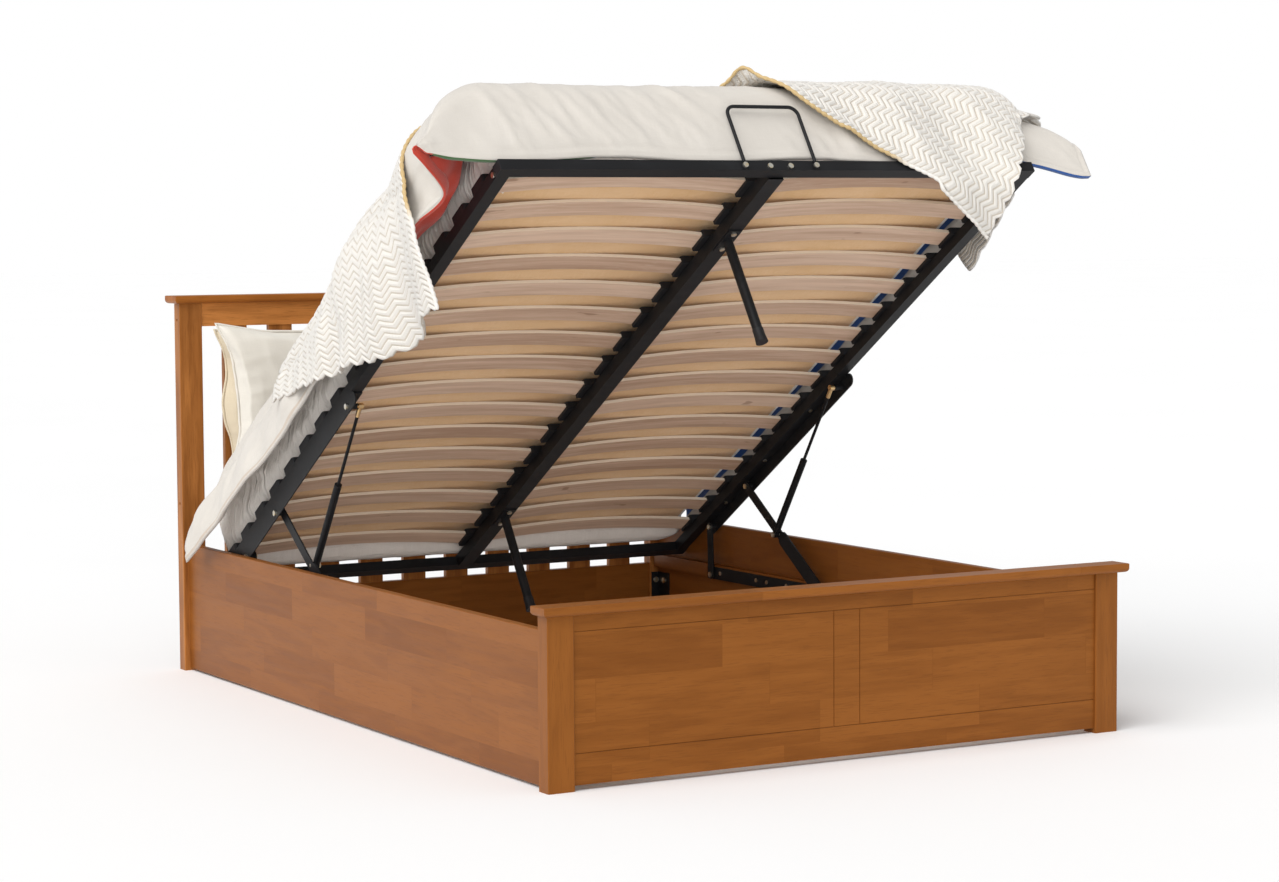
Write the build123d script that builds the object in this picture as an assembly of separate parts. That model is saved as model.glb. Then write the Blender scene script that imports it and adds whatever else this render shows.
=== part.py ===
from build123d import *
import math
import os

# Ottoman storage bed, drawn with its mattress platform lifted.
# X runs across the bed, Y from foot to head, Z up from the floor. Millimetres and degrees.
# The left side is negative X. Pieces of the platform are drawn in the platform's own
# frame: x across, u from the foot tube towards the head, w up from the tubes' top face.

# Overall sizes
overall_width = 1460.0
overall_length = 2040.0
floor_level = 0.0

# Clearances
overrun = 5.0
running_fit = 0.05
seat_gap = 0.3
side_gap = 6.0

# Posts and caps
post_width = 62.0
foot_post_depth = 42.0
foot_post_height = 363.0
head_post_depth = 37.0
head_post_height = 953.5
cap_thickness = 20.0
cap_side_overhang = 17.0
cap_end_overhang = 19.5
foot_cap_depth = 60.0
head_cap_depth = 76.0
cap_edge_round = 9.0
arris = 1.5
post_hole_radius = 4.0
post_hole_depth = 12.0
post_hole_shares = (0.456, 0.955)

# Footboard
footboard_thickness = 22.0
footboard_recess = 6.4
footboard_ground_gap = 11.3
groove_width = 2.0
groove_depth = 2.0
top_groove_height = 326.3
bottom_groove_height = 75.9
stile_half_width = 33.25

# Headboard
headboard_thickness = 22.0
headboard_front_set = 6.0
top_rail_height = 60.0
lower_panel_top = 195.0
slat_count = 10
headboard_slat_width = 65.0
headboard_slat_thickness = 16.0

# Side rails, battens and corner brackets
rail_thickness = 20.0
rail_outer_set = 15.0
rail_bottom = 6.0
rail_top = 329.3
batten_thickness = 20.0
batten_bottom = 187.0
batten_height = 35.0
batten_end_gap = 8.0
bracket_leg = 24.0
bracket_length = 60.0
bracket_thickness = 3.0
bracket_bottom = 62.0
bracket_height = 108.0
bed_bolt_radius = 4.0
bed_bolt_head_radius = 8.0
bed_bolt_head_height = 4.0
bed_bolt_grip = 14.0
bracket_bolt_shares = (0.2, 0.8)
bracket_rail_share = 0.6

# Platform pose and frame
lift_angle = 32.9
deck_room = 133.5
deck_head_room = 127.565
deck_head_level = 253.938
tube_width = 30.0
tube_height = 25.0
tube_wall = 1.5
beam_width = 40.0
beam_height = 30.0
plug_flange = 2.0
plug_depth = 14.0

# Slats and their holders
deck_slat_count = 16
deck_slat_width = 53.0
deck_slat_thickness = 8.0
deck_slat_rise = 20.0
first_slat_edge = 88.0
last_slat_edge = 96.0
slat_seat = 4.0
slat_end_inset = 17.0
slat_inner_inset = 14.0
slat_edge_round = 2.5
holder_length = 64.0
holder_height = 18.5
holder_width = 40.0
centre_holder_width = 74.0
holder_round = 6.0
holder_fit = 0.4

# Handle hoop and platform bolts
hoop_wire_radius = 4.0
hoop_half_width = 92.0
hoop_foot_drop = 15.0
hoop_height = 140.0
hoop_corner = 22.0
hoop_pad_radius = 9.0
hoop_pad_thickness = 4.0
bracket_bolt_x = 26.5
deck_bolt_radius = 3.5
deck_bolt_head = 6.5
deck_bolt_head_height = 3.5
deck_bolt_reach = 9.0
deck_bolt_level = -15.0
corner_bolt_u = 38.0

# Centre legs
foot_leg_u = 276.0
head_leg_inset = 306.5
leg_radius = 11.5
leg_wall = 1.5
leg_tip = -299.5
leg_foot_radius = 14.5
leg_foot_neck = 12.6
leg_foot_height = 34.0
leg_foot_sole = 6.0
leg_plate_length = 84.0
leg_plate_width = 34.0
leg_plate_thickness = 3.0
leg_bolt_spread = 61.0

# Lift mechanism: sets are taken from the head posts on the base, and insets from the
# platform's head end, in u, on the platform
rear_pivot_set = 332.0
rear_pivot_z = 196.0
front_pivot_set = 863.0
front_pivot_z = 210.0
rear_joint_inset = 205.5
rear_joint_w = -48.0
front_joint_inset = 431.5
front_joint_w = -45.0
strut_joint_inset = 948.5
strut_joint_w = -42.0
strut_foot_share = 0.5258
link_thickness = 4.0
rear_link_half_width = 13.0
front_link_half_width = 12.5
front_arm_half_width = 20.0
front_arm_share = 0.9
link_gap = 2.0
base_bar_thickness = 3.0
base_bar_height = 30.0
base_bar_foot = 18.0
base_bar_end = 26.0
base_ear_radius = 16.0
base_screw_sets = (706.0, 609.0, 556.0, 373.0)
top_bar_thickness = 3.0
top_bar_drop = 34.0
top_bar_foot_inset = 985.5
top_bar_head_inset = 184.5
top_bar_nose = 17.0
top_screw_insets = (806.5, 542.5, 306.5)
pin_radius = 4.0
pin_head_radius = 7.5
pin_head_height = 4.0
pin_collar_radius = 8.0
sleeve_radius = 7.0
open_pivot_gap = 1.0
screw_radius = 2.5
screw_head_radius = 5.5
screw_head_height = 1.7
base_screw_grip = 13.0
right_angle = 90.0

# Gas struts
strut_offset = 11.0
cylinder_radius = 9.0
cylinder_bore = 7.3
cylinder_length = 247.0
cylinder_neck = 15.0
cylinder_base = 28.0
cylinder_guide = 12.0
cylinder_eye_radius = 8.5
cylinder_eye_width = 12.0
rod_radius = 4.0
piston_radius = 7.2
piston_height = 12.0
rod_engaged = 34.0
fork_length = 30.0
fork_radius = 5.4
fork_eye_radius = 7.5
fork_eye_width = 12.0
fork_pin_width = 17.0

# Mattress
mattress_width = 1350.0
mattress_foot_u = 12.0
mattress_head_inset = 13.5
mattress_thickness = 182.0
mattress_edge = 56.0

# Duvet and throw
duvet_thickness = 22.0
duvet_foot_thickness = 10.0
duvet_crown = 16.0
cover_reach = 850.0
duvet_head_inset = 346.5
duvet_tip_reach = 68.5
duvet_shoulder = 46.0
duvet_side_band = 12.0
duvet_tip_taper = 90.0
duvet_post_reach = 1.5
duvet_tip_level = 60.0
cover_drop = 170.0
cover_depth = 620.0
swell_share = 0.8
crown_side_share = 0.7
cover_corner_share = 0.2
# Place, left reach and hem, right reach and hem, and how far the top sinks
cover_stations_shares = (
    (0.0, 0.35, 0.1, 0.95, -0.01, 1.0),
    (0.003, 0.4, 0.1, 0.97, -0.01, 0.58),
    (0.012, 0.55, 0.15, 1.0, -0.01, 0.15),
    (0.022, 0.7, 0.2, 0.96, -0.01, 0.0),
    (0.06, 1.0, 0.35, 0.7, -0.005, 0.0),
    (0.13, 0.62, 0.08, 0.38, 0.02, 0.0),
    (0.21, 0.4, 0.03, 0.24, 0.02, 0.0),
    (0.3, 0.6, 0.03, 0.4, 0.03, 0.0),
    (0.4, 0.38, 0.03, 0.22, 0.02, 0.0),
    (0.5, 0.58, 0.04, 0.38, 0.03, 0.0),
    (0.62, 0.36, 0.04, 0.24, 0.02, 0.0),
    (0.74, 0.52, 0.06, 0.36, 0.03, 0.0),
    (0.87, 0.4, 0.08, 0.24, 0.02, 0.0),
    (1.0, 0.5, 0.2, 0.3, 0.03, 0.0),
)
throw_thickness = 8.0
throw_gap = 0.6
throw_tail_length = 205.0
throw_tail_start = -30.0
throw_left_hem = -205.0
throw_plan_shares = ((-1.2, 0.1), (-0.09, -0.02), (0.78, -0.02), (0.8, 0.16), (-1.2, 0.72))
throw_side_shares = ((0.0, -1.2), (0.0, -0.3), (0.14, -0.8), (0.72, 0.52), (0.9, 0.52), (0.9, -1.2))
throw_front_shares = (
    (-1.2, 0.95), (-0.06, 1.08), (0.17, 0.86), (0.44, -0.14), (1.2, -0.14), (1.2, -1.2), (-1.2, -1.2))
throw_tail_shares = ((0.44, 0.04), (0.78, 0.04), (0.72, -0.35), (0.62, -1.0), (0.54, -0.6))

# Pillows
pillow_width = 640.0
pillow_height = 360.0
pillow_thickness = 100.0
pillow_edge = 12.0
pillow_centre_x = 332.0
back_pillow_base = 526.0
front_pillow_base = 545.0
pillow_draw_share = 0.93
pillow_shoulder_share = 0.72

# Places worked out from the sizes above
half_width = overall_width / 2
foot_face = -overall_length / 2
head_face = overall_length / 2
foot_post_back = foot_face + foot_post_depth
head_post_front = head_face - head_post_depth
post_inner = half_width - post_width
rail_outer = half_width - rail_outer_set
rail_inner = rail_outer - rail_thickness
batten_inner = rail_inner - batten_thickness
batten_top = batten_bottom + batten_height
panel_front = foot_face + footboard_recess
panel_back = panel_front + footboard_thickness
headboard_front = head_post_front + headboard_front_set
headboard_back = headboard_front + headboard_thickness
headboard_middle = (headboard_front + headboard_back) / 2
headboard_slat_front = headboard_middle - headboard_slat_thickness / 2
back_pillow_y = headboard_slat_front - seat_gap - pillow_thickness / 2
front_pillow_y = back_pillow_y - pillow_thickness - seat_gap
deck_length = overall_length - deck_room
deck_foot_y = head_post_front - deck_head_room - deck_length * math.cos(math.radians(lift_angle))
deck_foot_z = deck_head_level + deck_length * math.sin(math.radians(lift_angle))
slat_span = deck_length - first_slat_edge - last_slat_edge - deck_slat_width
deck_slat_pitch = slat_span / (deck_slat_count - 1)
head_leg_u = deck_length - head_leg_inset
deck_half_width = rail_inner - side_gap
tube_inner = deck_half_width - tube_width
slat_outer = deck_half_width - slat_end_inset
mattress_bottom = slat_seat + deck_slat_rise + deck_slat_thickness + seat_gap
mattress_top = mattress_bottom + mattress_thickness
mattress_half = mattress_width / 2
mattress_head_u = deck_length - mattress_head_inset
rear_pivot_y = head_post_front - rear_pivot_set
front_pivot_y = head_post_front - front_pivot_set
rear_joint_u = deck_length - rear_joint_inset
front_joint_u = deck_length - front_joint_inset
strut_joint_u = deck_length - strut_joint_inset
base_bar_inner = batten_inner - base_bar_thickness
link_outer = base_bar_inner - link_gap
link_inner = link_outer - link_thickness
strut_x = link_inner - strut_offset
top_bar_inner = deck_half_width - top_bar_thickness
top_bar_top = -tube_height - top_bar_thickness
top_bar_bottom = -tube_height - top_bar_drop
top_bar_start = deck_length - top_bar_foot_inset
top_bar_end = deck_length - top_bar_head_inset
top_screw_us = [deck_length - inset for inset in top_screw_insets]
base_screw_ys = [head_post_front - set_back for set_back in base_screw_sets]
duvet_bottom = mattress_bottom + seat_gap
duvet_head_u = deck_length - duvet_head_inset
duvet_tip_u = deck_length + duvet_tip_reach
duvet_post_u = deck_length + duvet_post_reach

# The platform's frame, which turns local (x, u, w) shapes into the bed's frame
deck_frame = Pos(0, deck_foot_y, deck_foot_z) * Rot(-lift_angle, 0, 0)


def deck_point(u, w):
    """The bed's (y, z) of a point (u, w) of the platform."""
    turn = math.radians(lift_angle)
    y = deck_foot_y + u * math.cos(turn) + w * math.sin(turn)
    z = deck_foot_z - u * math.sin(turn) + w * math.cos(turn)
    return y, z


def block(low, high):
    """A box between two opposite corners."""
    size = [b - a for a, b in zip(low, high)]
    middle = [(a + b) / 2 for a, b in zip(low, high)]
    return Pos(*middle) * Box(*size)


def rod_x(x_from, x_to, y, z, radius):
    """A round bar along X between two x values."""
    bar = Rot(0, 90, 0) * Cylinder(radius, abs(x_to - x_from))
    return Pos((x_from + x_to) / 2, y, z) * bar


def hexagon_x(x_from, x_to, y, z, radius):
    """A hexagonal prism along X, for nuts and bolt heads."""
    outline = Plane.YZ * RegularPolygon(radius, 6)
    return Pos(min(x_from, x_to), y, z) * extrude(outline, abs(x_to - x_from))


def tube_bar(low, high, wall, axis):
    """A rectangular tube, open at both ends along one axis."""
    inner_low = [a + wall for a in low]
    inner_high = [b - wall for b in high]
    inner_low[axis] = low[axis] - overrun
    inner_high[axis] = high[axis] + overrun
    return block(low, high) - block(inner_low, inner_high)


def mirrored(shape):
    """The same piece on the left side."""
    return mirror(shape, about=Plane.YZ)


def save(name, *shapes):
    """Write one node: every solid of the given shapes."""
    solids = [solid for shape in shapes for solid in shape.solids()]
    export_step(Compound(solids), os.path.join("parts", name + ".step"))


def save_pair(name, shape):
    """Write a right-hand piece and its mirror image as two nodes."""
    save(name + "_right", shape)
    save(name + "_left", mirrored(shape))


def drilled(shape, drills):
    """The shape with every drill taken out."""
    for drill in drills:
        shape -= drill
    return shape


def bar_y(x, z, y_from, y_to, radius):
    """A round bar along Y between two y values."""
    bar = Rot(90, 0, 0) * Cylinder(radius, abs(y_to - y_from))
    return Pos(x, (y_from + y_to) / 2, z) * bar


def at_foot(shape):
    """A head corner's piece mirrored to the foot corner."""
    middle = (foot_post_back + head_post_front) / 2
    return mirror(shape, about=Plane(origin=(0, middle, 0), z_dir=(0, 1, 0)))


def corner_levels():
    """The heights of a corner's bolts."""
    return [bracket_bottom + share * bracket_height for share in bracket_bolt_shares]


def corner_drills():
    """Bolt holes of the right head corner, through bracket, rail and post."""
    radius = bed_bolt_radius + running_fit
    rail_face = rail_inner - bracket_thickness
    post_face = head_post_front - bracket_thickness
    rail_y = head_post_front - bracket_length * bracket_rail_share
    post_x = rail_inner - bracket_leg / 2
    drills = []
    for level in corner_levels():
        drills.append(rod_x(rail_face - overrun, rail_face + bed_bolt_grip, rail_y, level, radius))
        drills.append(bar_y(post_x, level, post_face - overrun, post_face + bed_bolt_grip, radius))
    return drills


def corner_bolts():
    """The bolts of the right head corner."""
    rail_face = rail_inner - bracket_thickness
    post_face = head_post_front - bracket_thickness
    rail_y = head_post_front - bracket_length * bracket_rail_share
    post_x = rail_inner - bracket_leg / 2
    bolts = []
    for level in corner_levels():
        shank = rod_x(rail_face, rail_face + bed_bolt_grip - seat_gap, rail_y, level, bed_bolt_radius)
        head = rod_x(rail_face - bed_bolt_head_height, rail_face, rail_y, level, bed_bolt_head_radius)
        bolts.append(shank + head)
        shank = bar_y(post_x, level, post_face, post_face + bed_bolt_grip - seat_gap, bed_bolt_radius)
        head = bar_y(post_x, level, post_face - bed_bolt_head_height, post_face, bed_bolt_head_radius)
        bolts.append(shank + head)
    return bolts


def corner_bracket():
    """A steel angle on the inner faces of a rail and a head post."""
    top = bracket_bottom + bracket_height
    rail_leg = block(
        (rail_inner - bracket_thickness, head_post_front - bracket_length, bracket_bottom),
        (rail_inner, head_post_front, top),
    )
    post_leg = block(
        (rail_inner - bracket_leg, head_post_front - bracket_thickness, bracket_bottom),
        (rail_inner, head_post_front, top),
    )
    return drilled(rail_leg + post_leg, corner_drills())


def corner_fittings():
    """The brackets and bolts of all four corners."""
    bracket = corner_bracket()
    bolts = corner_bolts()
    right = [bracket, at_foot(bracket)]
    save("corner_brackets", *right, *[mirrored(piece) for piece in right])
    right = bolts + [at_foot(bolt) for bolt in bolts]
    save("corner_bolts", *right, *[mirrored(piece) for piece in right])


def cap_board(y_front, y_back, bottom):
    """A cap with a rounded under edge and a small square arris on top."""
    reach = half_width + cap_side_overhang
    board = block((-reach, y_front, bottom), (reach, y_back, bottom + cap_thickness))
    board = fillet(board.faces().sort_by(Axis.Z)[0].edges(), cap_edge_round)
    return chamfer(board.faces().sort_by(Axis.Z)[-1].edges(), arris)


def footboard():
    """Two posts, a grooved panel and a cap."""
    post = block((post_inner, foot_face, floor_level), (half_width, foot_post_back, foot_post_height))
    post = chamfer(post.edges().filter_by(Axis.Z), arris)
    save_pair("foot_post", drilled(post, [at_foot(drill) for drill in corner_drills()]))

    panel = block(
        (-post_inner, panel_front, footboard_ground_gap),
        (post_inner, panel_back, foot_post_height),
    )
    cut_front = panel_front - overrun
    cut_back = panel_front + groove_depth
    for level in (bottom_groove_height, top_groove_height):
        panel -= block(
            (-post_inner - overrun, cut_front, level),
            (post_inner + overrun, cut_back, level + groove_width),
        )
    for side in (-1, 1):
        centre = side * stile_half_width
        panel -= block(
            (centre - groove_width / 2, cut_front, bottom_groove_height),
            (centre + groove_width / 2, cut_back, top_groove_height + groove_width),
        )
    save("footboard_panel", panel)
    cap_front = foot_face - cap_end_overhang
    save("footboard_cap", cap_board(cap_front, cap_front + foot_cap_depth, foot_post_height))


def headboard():
    """Two tall posts, a lower panel, upright slats, a top rail and a cap."""
    post = block((post_inner, head_post_front, floor_level), (half_width, head_face, head_post_height))
    post = chamfer(post.edges().filter_by(Axis.Z), arris)
    post_middle = (head_post_front + head_face) / 2
    holes = corner_drills()
    for share in post_hole_shares:
        level = share * head_post_height
        start = half_width - post_hole_depth
        holes.append(rod_x(start, half_width + overrun, post_middle, level, post_hole_radius))
    save_pair("head_post", drilled(post, holes))

    save("headboard_panel", block(
        (-post_inner, headboard_front, footboard_ground_gap),
        (post_inner, headboard_back, lower_panel_top),
    ))
    rail_level = head_post_height - top_rail_height
    save("headboard_top_rail", block(
        (-post_inner, headboard_front, rail_level),
        (post_inner, headboard_back, head_post_height),
    ))
    gap = (2 * post_inner - slat_count * headboard_slat_width) / (slat_count + 1)
    slats = []
    for index in range(slat_count):
        left = -post_inner + gap + index * (headboard_slat_width + gap)
        slats.append(block(
            (left, headboard_slat_front, lower_panel_top),
            (left + headboard_slat_width, headboard_slat_front + headboard_slat_thickness, rail_level),
        ))
    save("headboard_slats", *slats)
    cap_back = head_face + cap_end_overhang
    save("headboard_cap", cap_board(cap_back - head_cap_depth, cap_back, head_post_height))


def side_rails():
    """The side boards, each with a batten along its inner face."""
    rail = block((rail_inner, foot_post_back, rail_bottom), (rail_outer, head_post_front, rail_top))
    rail = chamfer(rail.edges().filter_by(Axis.Y), arris)
    drills = corner_drills()
    save_pair("side_rail", drilled(rail, drills + [at_foot(drill) for drill in drills]))
    batten = block(
        (batten_inner, foot_post_back + batten_end_gap, batten_bottom),
        (rail_inner, head_post_front - batten_end_gap, batten_top),
    )
    save_pair("ledge_batten", drilled(batten, base_screw_drills()))


def base_screw_drills():
    """Screw holes through the base bar into the batten."""
    level = batten_bottom + base_bar_height / 2
    tip = base_bar_inner + base_screw_grip
    radius = screw_radius + running_fit
    drills = [rod_x(base_bar_inner - overrun, tip, y, level, radius) for y in base_screw_ys]
    for y, z in base_pivots:
        drills.append(rod_x(base_bar_inner - overrun, tip, y, z, pin_radius + running_fit))
    return drills


def capsule(start, end, radius, x_from, x_to):
    """A flat bar with round ends between two (y, z) points, lying in a plane of constant x."""
    (y1, z1), (y2, z2) = start, end
    length = math.dist(start, end)
    angle = math.degrees(math.atan2(z2 - z1, y2 - y1))
    outline = SlotCenterToCenter(length, 2 * radius, rotation=angle)
    sketch = Plane.YZ * Pos((y1 + y2) / 2, (z1 + z2) / 2) * outline
    return Pos(x_from, 0, 0) * extrude(sketch, x_to - x_from)


def base_bar():
    """An angle bar on a batten's inner face, with an ear at each end pivot."""
    low_y = front_pivot_y - base_bar_end
    high_y = rear_pivot_y + base_bar_end
    foot_level = batten_bottom - base_bar_thickness
    wall = block(
        (base_bar_inner, low_y, foot_level),
        (batten_inner, high_y, batten_bottom + base_bar_height),
    )
    ear_length = (base_pivots[0][1] - batten_bottom) / 2
    for y, z in base_pivots:
        wall += capsule((y, z - ear_length), (y, z), base_ear_radius, base_bar_inner, batten_inner)
    foot = block((base_bar_inner, low_y, foot_level), (batten_inner + base_bar_foot, high_y, batten_bottom))
    cut = block(
        (base_bar_inner - overrun, low_y - overrun, foot_level - base_ear_radius),
        (batten_inner + overrun, high_y + overrun, foot_level),
    )
    return drilled(wall + foot, base_screw_drills() + [cut])


def base_pin(y, z):
    """A shoulder bolt that carries a link on the base bar."""
    shank = rod_x(link_inner - seat_gap, base_bar_inner + base_screw_grip - seat_gap, y, z, pin_radius)
    collar = rod_x(link_outer + seat_gap, base_bar_inner, y, z, pin_collar_radius)
    head_end = link_inner - seat_gap
    return shank + collar + hexagon_x(head_end - pin_head_height, head_end, y, z, pin_head_radius)


def base_mechanism():
    """The fixed half of the lift: bars, screws and pivot bolts."""
    save_pair("lift_base_bar", base_bar())
    level = batten_bottom + base_bar_height / 2
    screws = []
    for y in base_screw_ys:
        head = rod_x(base_bar_inner - screw_head_height, base_bar_inner, y, level, screw_head_radius)
        tip = base_bar_inner + base_screw_grip - seat_gap
        screws.append(head + rod_x(base_bar_inner, tip, y, level, screw_radius))
    save("base_bar_screws", *screws, *[mirrored(screw) for screw in screws])
    pins = [base_pin(y, z) for y, z in base_pivots]
    save("base_pivot_bolts", *pins, *[mirrored(pin) for pin in pins])


def links():
    """Rear link, front link with its wider arm, and the stud that carries the strut."""
    eye = pin_radius + running_fit
    rear = capsule(base_pivots[1], rear_joint, rear_link_half_width, link_inner, link_outer)
    for y, z in (base_pivots[1], rear_joint):
        rear -= rod_x(link_inner - overrun, link_outer + overrun, y, z, eye)
    save_pair("rear_link", rear)

    start = base_pivots[0]
    arm_end = between(start, strut_foot, front_arm_share)
    front = capsule(start, front_joint, front_link_half_width, link_inner, link_outer)
    front += capsule(start, arm_end, front_arm_half_width, link_inner, link_outer)
    for y, z in (start, strut_foot, front_joint):
        front -= rod_x(link_inner - overrun, link_outer + overrun, y, z, eye)
    save_pair("front_link", front)

    y, z = strut_foot
    eye_inner = strut_x - cylinder_eye_width / 2
    stud = rod_x(eye_inner - seat_gap, link_outer + seat_gap, y, z, pin_radius)
    stud += hexagon_x(eye_inner - seat_gap - pin_head_height, eye_inner - seat_gap, y, z, pin_head_radius)
    y, z = front_joint
    eye_bolt = rod_x(link_inner - pin_head_height, link_outer, y, z, pin_radius)
    eye_bolt += hexagon_x(link_inner - pin_head_height, link_inner, y, z, pin_head_radius)
    save("strut_studs", stud, mirrored(stud))
    save("front_link_bolts", eye_bolt, mirrored(eye_bolt))


def between(start, end, share):
    """The point that lies a share of the way from start to end."""
    return tuple(a + (b - a) * share for a, b in zip(start, end))


def along_strut(shape):
    """Turn a shape drawn along Z, from the strut's lower pivot, to the strut's line."""
    (y1, z1), (y2, z2) = strut_foot, strut_top
    lean = math.degrees(math.atan2(z2 - z1, y2 - y1)) - right_angle
    return Pos(strut_x, y1, z1) * Rot(lean, 0, 0) * shape


def round_z(radius, low, high):
    """A round bar along Z."""
    return Pos(0, 0, (low + high) / 2) * Cylinder(radius, high - low)


def eye_x(radius, width, height):
    """A round eye along X at a height on the strut's line."""
    return Pos(0, 0, height) * Rot(0, 90, 0) * Cylinder(radius, width)


def gas_struts():
    """Cylinder, rod with its piston, and the fork that the rod ends in."""
    length = math.dist(strut_foot, strut_top)
    barrel = round_z(cylinder_radius, cylinder_neck, cylinder_length)
    barrel += eye_x(cylinder_eye_radius, cylinder_eye_width, 0)
    neck_half = cylinder_eye_width / 2
    barrel += block((-neck_half, -neck_half, 0), (neck_half, neck_half, cylinder_neck))
    barrel -= round_z(cylinder_bore, cylinder_base, cylinder_length - cylinder_guide)
    barrel -= round_z(rod_radius + running_fit, cylinder_base, cylinder_length + overrun)
    barrel -= eye_x(pin_radius + running_fit, cylinder_eye_width + overrun, 0)
    save_pair("gas_cylinder", along_strut(barrel))

    rod_low = cylinder_length - cylinder_guide - rod_engaged
    rod = round_z(rod_radius, rod_low, length - fork_length)
    rod += round_z(piston_radius, rod_low, rod_low + piston_height)
    save_pair("gas_rod", along_strut(rod))

    fork = round_z(fork_radius, length - fork_length, length)
    fork += eye_x(fork_eye_radius, fork_eye_width, length)
    fork += eye_x(pin_radius, fork_pin_width, length)
    fork = along_strut(fork)
    save("rod_forks", fork, mirrored(fork))


def top_bar():
    """An angle under a side tube: a flange under the tube and one hanging at its outer side."""
    far_corner = (deck_half_width, top_bar_end, -tube_height)
    plate = block((tube_inner, top_bar_start, top_bar_top), far_corner)
    wall = block((top_bar_inner, top_bar_start, top_bar_bottom), far_corner)
    nose_w = top_bar_bottom + top_bar_nose
    wall += rod_x(top_bar_inner, deck_half_width, top_bar_start, nose_w, top_bar_nose)
    bar = wall + plate
    bar -= block(
        (tube_inner - overrun, top_bar_start - 2 * top_bar_nose, -tube_height),
        (deck_half_width + overrun, top_bar_end, tube_height),
    )
    for u, w in platform_joints:
        bar -= rod_x(top_bar_inner - overrun, deck_half_width + overrun, u, w, pin_radius + running_fit)
    for u in top_screw_us:
        bar -= Pos((tube_inner + deck_half_width) / 2, u, 0) * round_z(
            screw_radius + running_fit, top_bar_top - overrun, 0)
    return bar


def platform_bolt(u, w, tip):
    """A pivot bolt: its head outside the flange, its shank reaching inwards to x = tip."""
    head = hexagon_x(deck_half_width, deck_half_width + pin_head_height, u, w, pin_head_radius)
    return head + rod_x(tip, deck_half_width, u, w, pin_radius)


def spacer_sleeve(u, w, tip):
    """The spacer between the flange and a link or fork."""
    sleeve = rod_x(tip, top_bar_inner, u, w, sleeve_radius)
    return sleeve - rod_x(tip - overrun, top_bar_inner + overrun, u, w, pin_radius + running_fit)


def platform_mechanism():
    """The platform's half of the lift: bars, screws, pivot bolts and their sleeves."""
    save_pair("lift_top_bar", deck_frame * top_bar())
    screws = []
    for u in top_screw_us:
        middle = (tube_inner + deck_half_width) / 2
        head = Pos(middle, u, 0) * round_z(screw_head_radius, top_bar_top - screw_head_height, top_bar_top)
        shank = Pos(middle, u, 0) * round_z(screw_radius, top_bar_top, tube_wall - tube_height)
        screws.append(deck_frame * (head + shank))
    save("top_bar_screws", *screws, *[mirrored(screw) for screw in screws])

    nut_outer = link_inner - seat_gap
    tips = [nut_outer - pin_head_height, link_outer + open_pivot_gap, strut_pin_end + open_pivot_gap]
    sleeve_tips = [link_outer + seat_gap, link_outer + open_pivot_gap, strut_pin_end + open_pivot_gap]
    bolts = []
    sleeves = []
    for (u, w), tip, sleeve_tip in zip(platform_joints, tips, sleeve_tips):
        bolts.append(deck_frame * platform_bolt(u, w, tip))
        sleeves.append(deck_frame * spacer_sleeve(u, w, sleeve_tip))
    u, w = platform_joints[0]
    nut = hexagon_x(tips[0], nut_outer, u, w, pin_head_radius)
    nut -= rod_x(tips[0] - overrun, nut_outer + overrun, u, w, pin_radius + running_fit)
    bolts.append(deck_frame * nut)
    save("platform_pivot_bolts", *bolts, *[mirrored(bolt) for bolt in bolts])
    save("pivot_sleeves", *sleeves, *[mirrored(sleeve) for sleeve in sleeves])


def deck_bolt_drills():
    """Holes in the foot tube and side tubes for the bolts that show."""
    radius = deck_bolt_radius + running_fit
    reach = deck_bolt_reach + seat_gap
    drills = [bar_y(x, deck_bolt_level, -overrun, reach, radius) for x in foot_bolt_xs]
    for x in (-1, 1):
        outer = x * (deck_half_width + overrun)
        inner = x * (deck_half_width - reach)
        drills.append(rod_x(inner, outer, corner_bolt_u, deck_bolt_level, radius))
    return drills


def deck_tubes():
    """The platform's frame: four outer tubes, a centre beam and the plugs in the open ends."""
    drills = deck_bolt_drills()
    foot = tube_bar(
        (-deck_half_width, 0, -tube_height), (deck_half_width, tube_width, 0), tube_wall, 0)
    save("deck_foot_tube", deck_frame * drilled(foot, drills))
    head_start = deck_length - tube_width
    head = tube_bar(
        (-deck_half_width, head_start, -tube_height), (deck_half_width, deck_length, 0), tube_wall, 0)
    save("deck_head_tube", deck_frame * head)
    side = tube_bar(
        (tube_inner, tube_width, -tube_height), (deck_half_width, head_start, 0), tube_wall, 1)
    for u in top_screw_us:
        side -= Pos((tube_inner + deck_half_width) / 2, u, 0) * round_z(
            screw_radius + running_fit, -tube_height - overrun, tube_wall - tube_height + seat_gap)
    save_pair("deck_side_tube", deck_frame * drilled(side, drills[len(foot_bolt_xs):]))
    beam = tube_bar(
        (-beam_width / 2, tube_width, -beam_height), (beam_width / 2, head_start, 0), tube_wall, 1)
    for leg_u in (foot_leg_u, head_leg_u):
        for u in leg_bolt_us(leg_u):
            beam -= Pos(0, u, 0) * round_z(
                deck_bolt_radius + running_fit, -beam_height - overrun, tube_wall - beam_height + seat_gap)
    save("deck_centre_beam", deck_frame * beam)

    plugs = []
    inset = tube_wall + seat_gap
    for start in (0, head_start):
        end = start + tube_width
        flange = block(
            (deck_half_width, start, -tube_height), (deck_half_width + plug_flange, end, 0))
        body = block(
            (deck_half_width - plug_depth, start + inset, inset - tube_height),
            (deck_half_width, end - inset, -inset),
        )
        plugs.append(deck_frame * (flange + body))
    save("deck_end_plugs", *plugs, *[mirrored(plug) for plug in plugs])


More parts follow.
